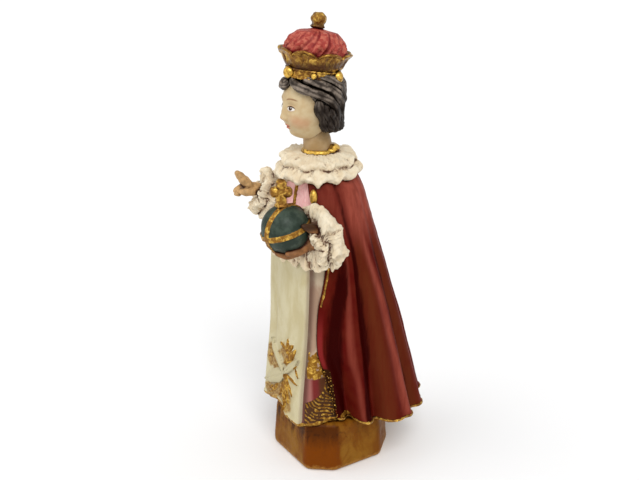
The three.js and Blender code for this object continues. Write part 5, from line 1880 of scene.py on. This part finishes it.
gilt = gilt_paint("antique_gilt", 0.9)
# Less worn gilt with more light patches, a painted highlight on the small bright parts
bright_gilt = gilt_paint("bright_gilt", 0.1, highlight_share=0.16)
lace = lace_paint()
bead_settings = [
    ("Spacing", "Float"), ("Bead radius", "Float"), ("Unevenness", "Float"), ("Scatter", "Float"),
    ("Seed", "Int"),
]
beads = line_group("beads_on_lines", bead_settings, beads_on_lines)
piping_settings = [("Step", "Float"), ("Radius", "Float"), ("Least", "Float"), ("Lumps", "Float")]
piping = line_group("piping_on_lines", piping_settings, piping_on_lines)
pieces = [
    coloured(made_base(), base_paint()),
    coloured(made_gown(), gown_paint()),
    coloured(made_cape(), cape_paint()),
    coloured(made_ruff(), lace),
    coloured(
        made_cuff("left_cuff", LEFT_CUFF, LEFT_CUFF_AXIS, LEFT_CUFF_DIAMETER, LEFT_CUFF_FORM, 35), lace
    ),
    coloured(
        made_cuff("right_cuff", RIGHT_CUFF, RIGHT_FOREARM, RIGHT_CUFF_DIAMETER, RIGHT_CUFF_FORM, 37), lace
    ),
    coloured(made_sleeves(), sleeve_paint()),
    # The left hand under its cuff is painted in shaded skin tones
    coloured(made_left_hand(), hand_paint("shaded_left_hand_skin", SHADED_LEFT_SKIN, SHADED_LEFT_SKIN_TOP)),
    coloured(made_right_hand(), hand_paint("right_hand_skin", RIGHT_SKIN)),
    coloured(made_orb(), orb_paint()),
    coloured(made_orb_cross(), gilt),
    # Skin painted darker as shade under the chin
    coloured(made_neck(), skin_paint("shaded_neck_skin", (SHADED_NECK_SKIN, SHADED_NECK_LIGHT))),
    *[coloured(piece, bright_gilt) for piece in made_neck_band()],
    coloured(made_head(), skin_paint("face_skin", (SKIN, SKIN_LIGHT), with_face=True)),
    coloured(made_hair(), hair_paint()),
    coloured(made_crown_band(), gilt_paint("crown_gilt", 0.9, shaded_between=LOBE_SHADE)),
    coloured(made_crown_cap(), cap_paint()),
    coloured(made_crown_knob(), gilt_paint("knob_gilt", 0.8, shaded_between=KNOB_SHADE)),
    coloured(made_crown_jewels(), bright_gilt),
    coloured(made_clasps(), bright_gilt),
    made_edge_beads(beads, gilt),
    made_piping(piping, gilt),
]
# Brown wash and painted shade in hollows and where the pieces meet
settle_wash_and_shade(pieces)
for piece in pieces:
    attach(piece, BODY)
    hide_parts(NODE)

set_stage()
set_light("key", azimuth=66, elevation=48, softness=30, strength=1.5)
set_light("fill", azimuth=-20, elevation=35, softness=60, strength=0.75)
set_light("back", azimuth=170, elevation=40, softness=50, strength=0.2)
set_camera()
bpy.context.scene.view_settings.view_transform = "Standard"
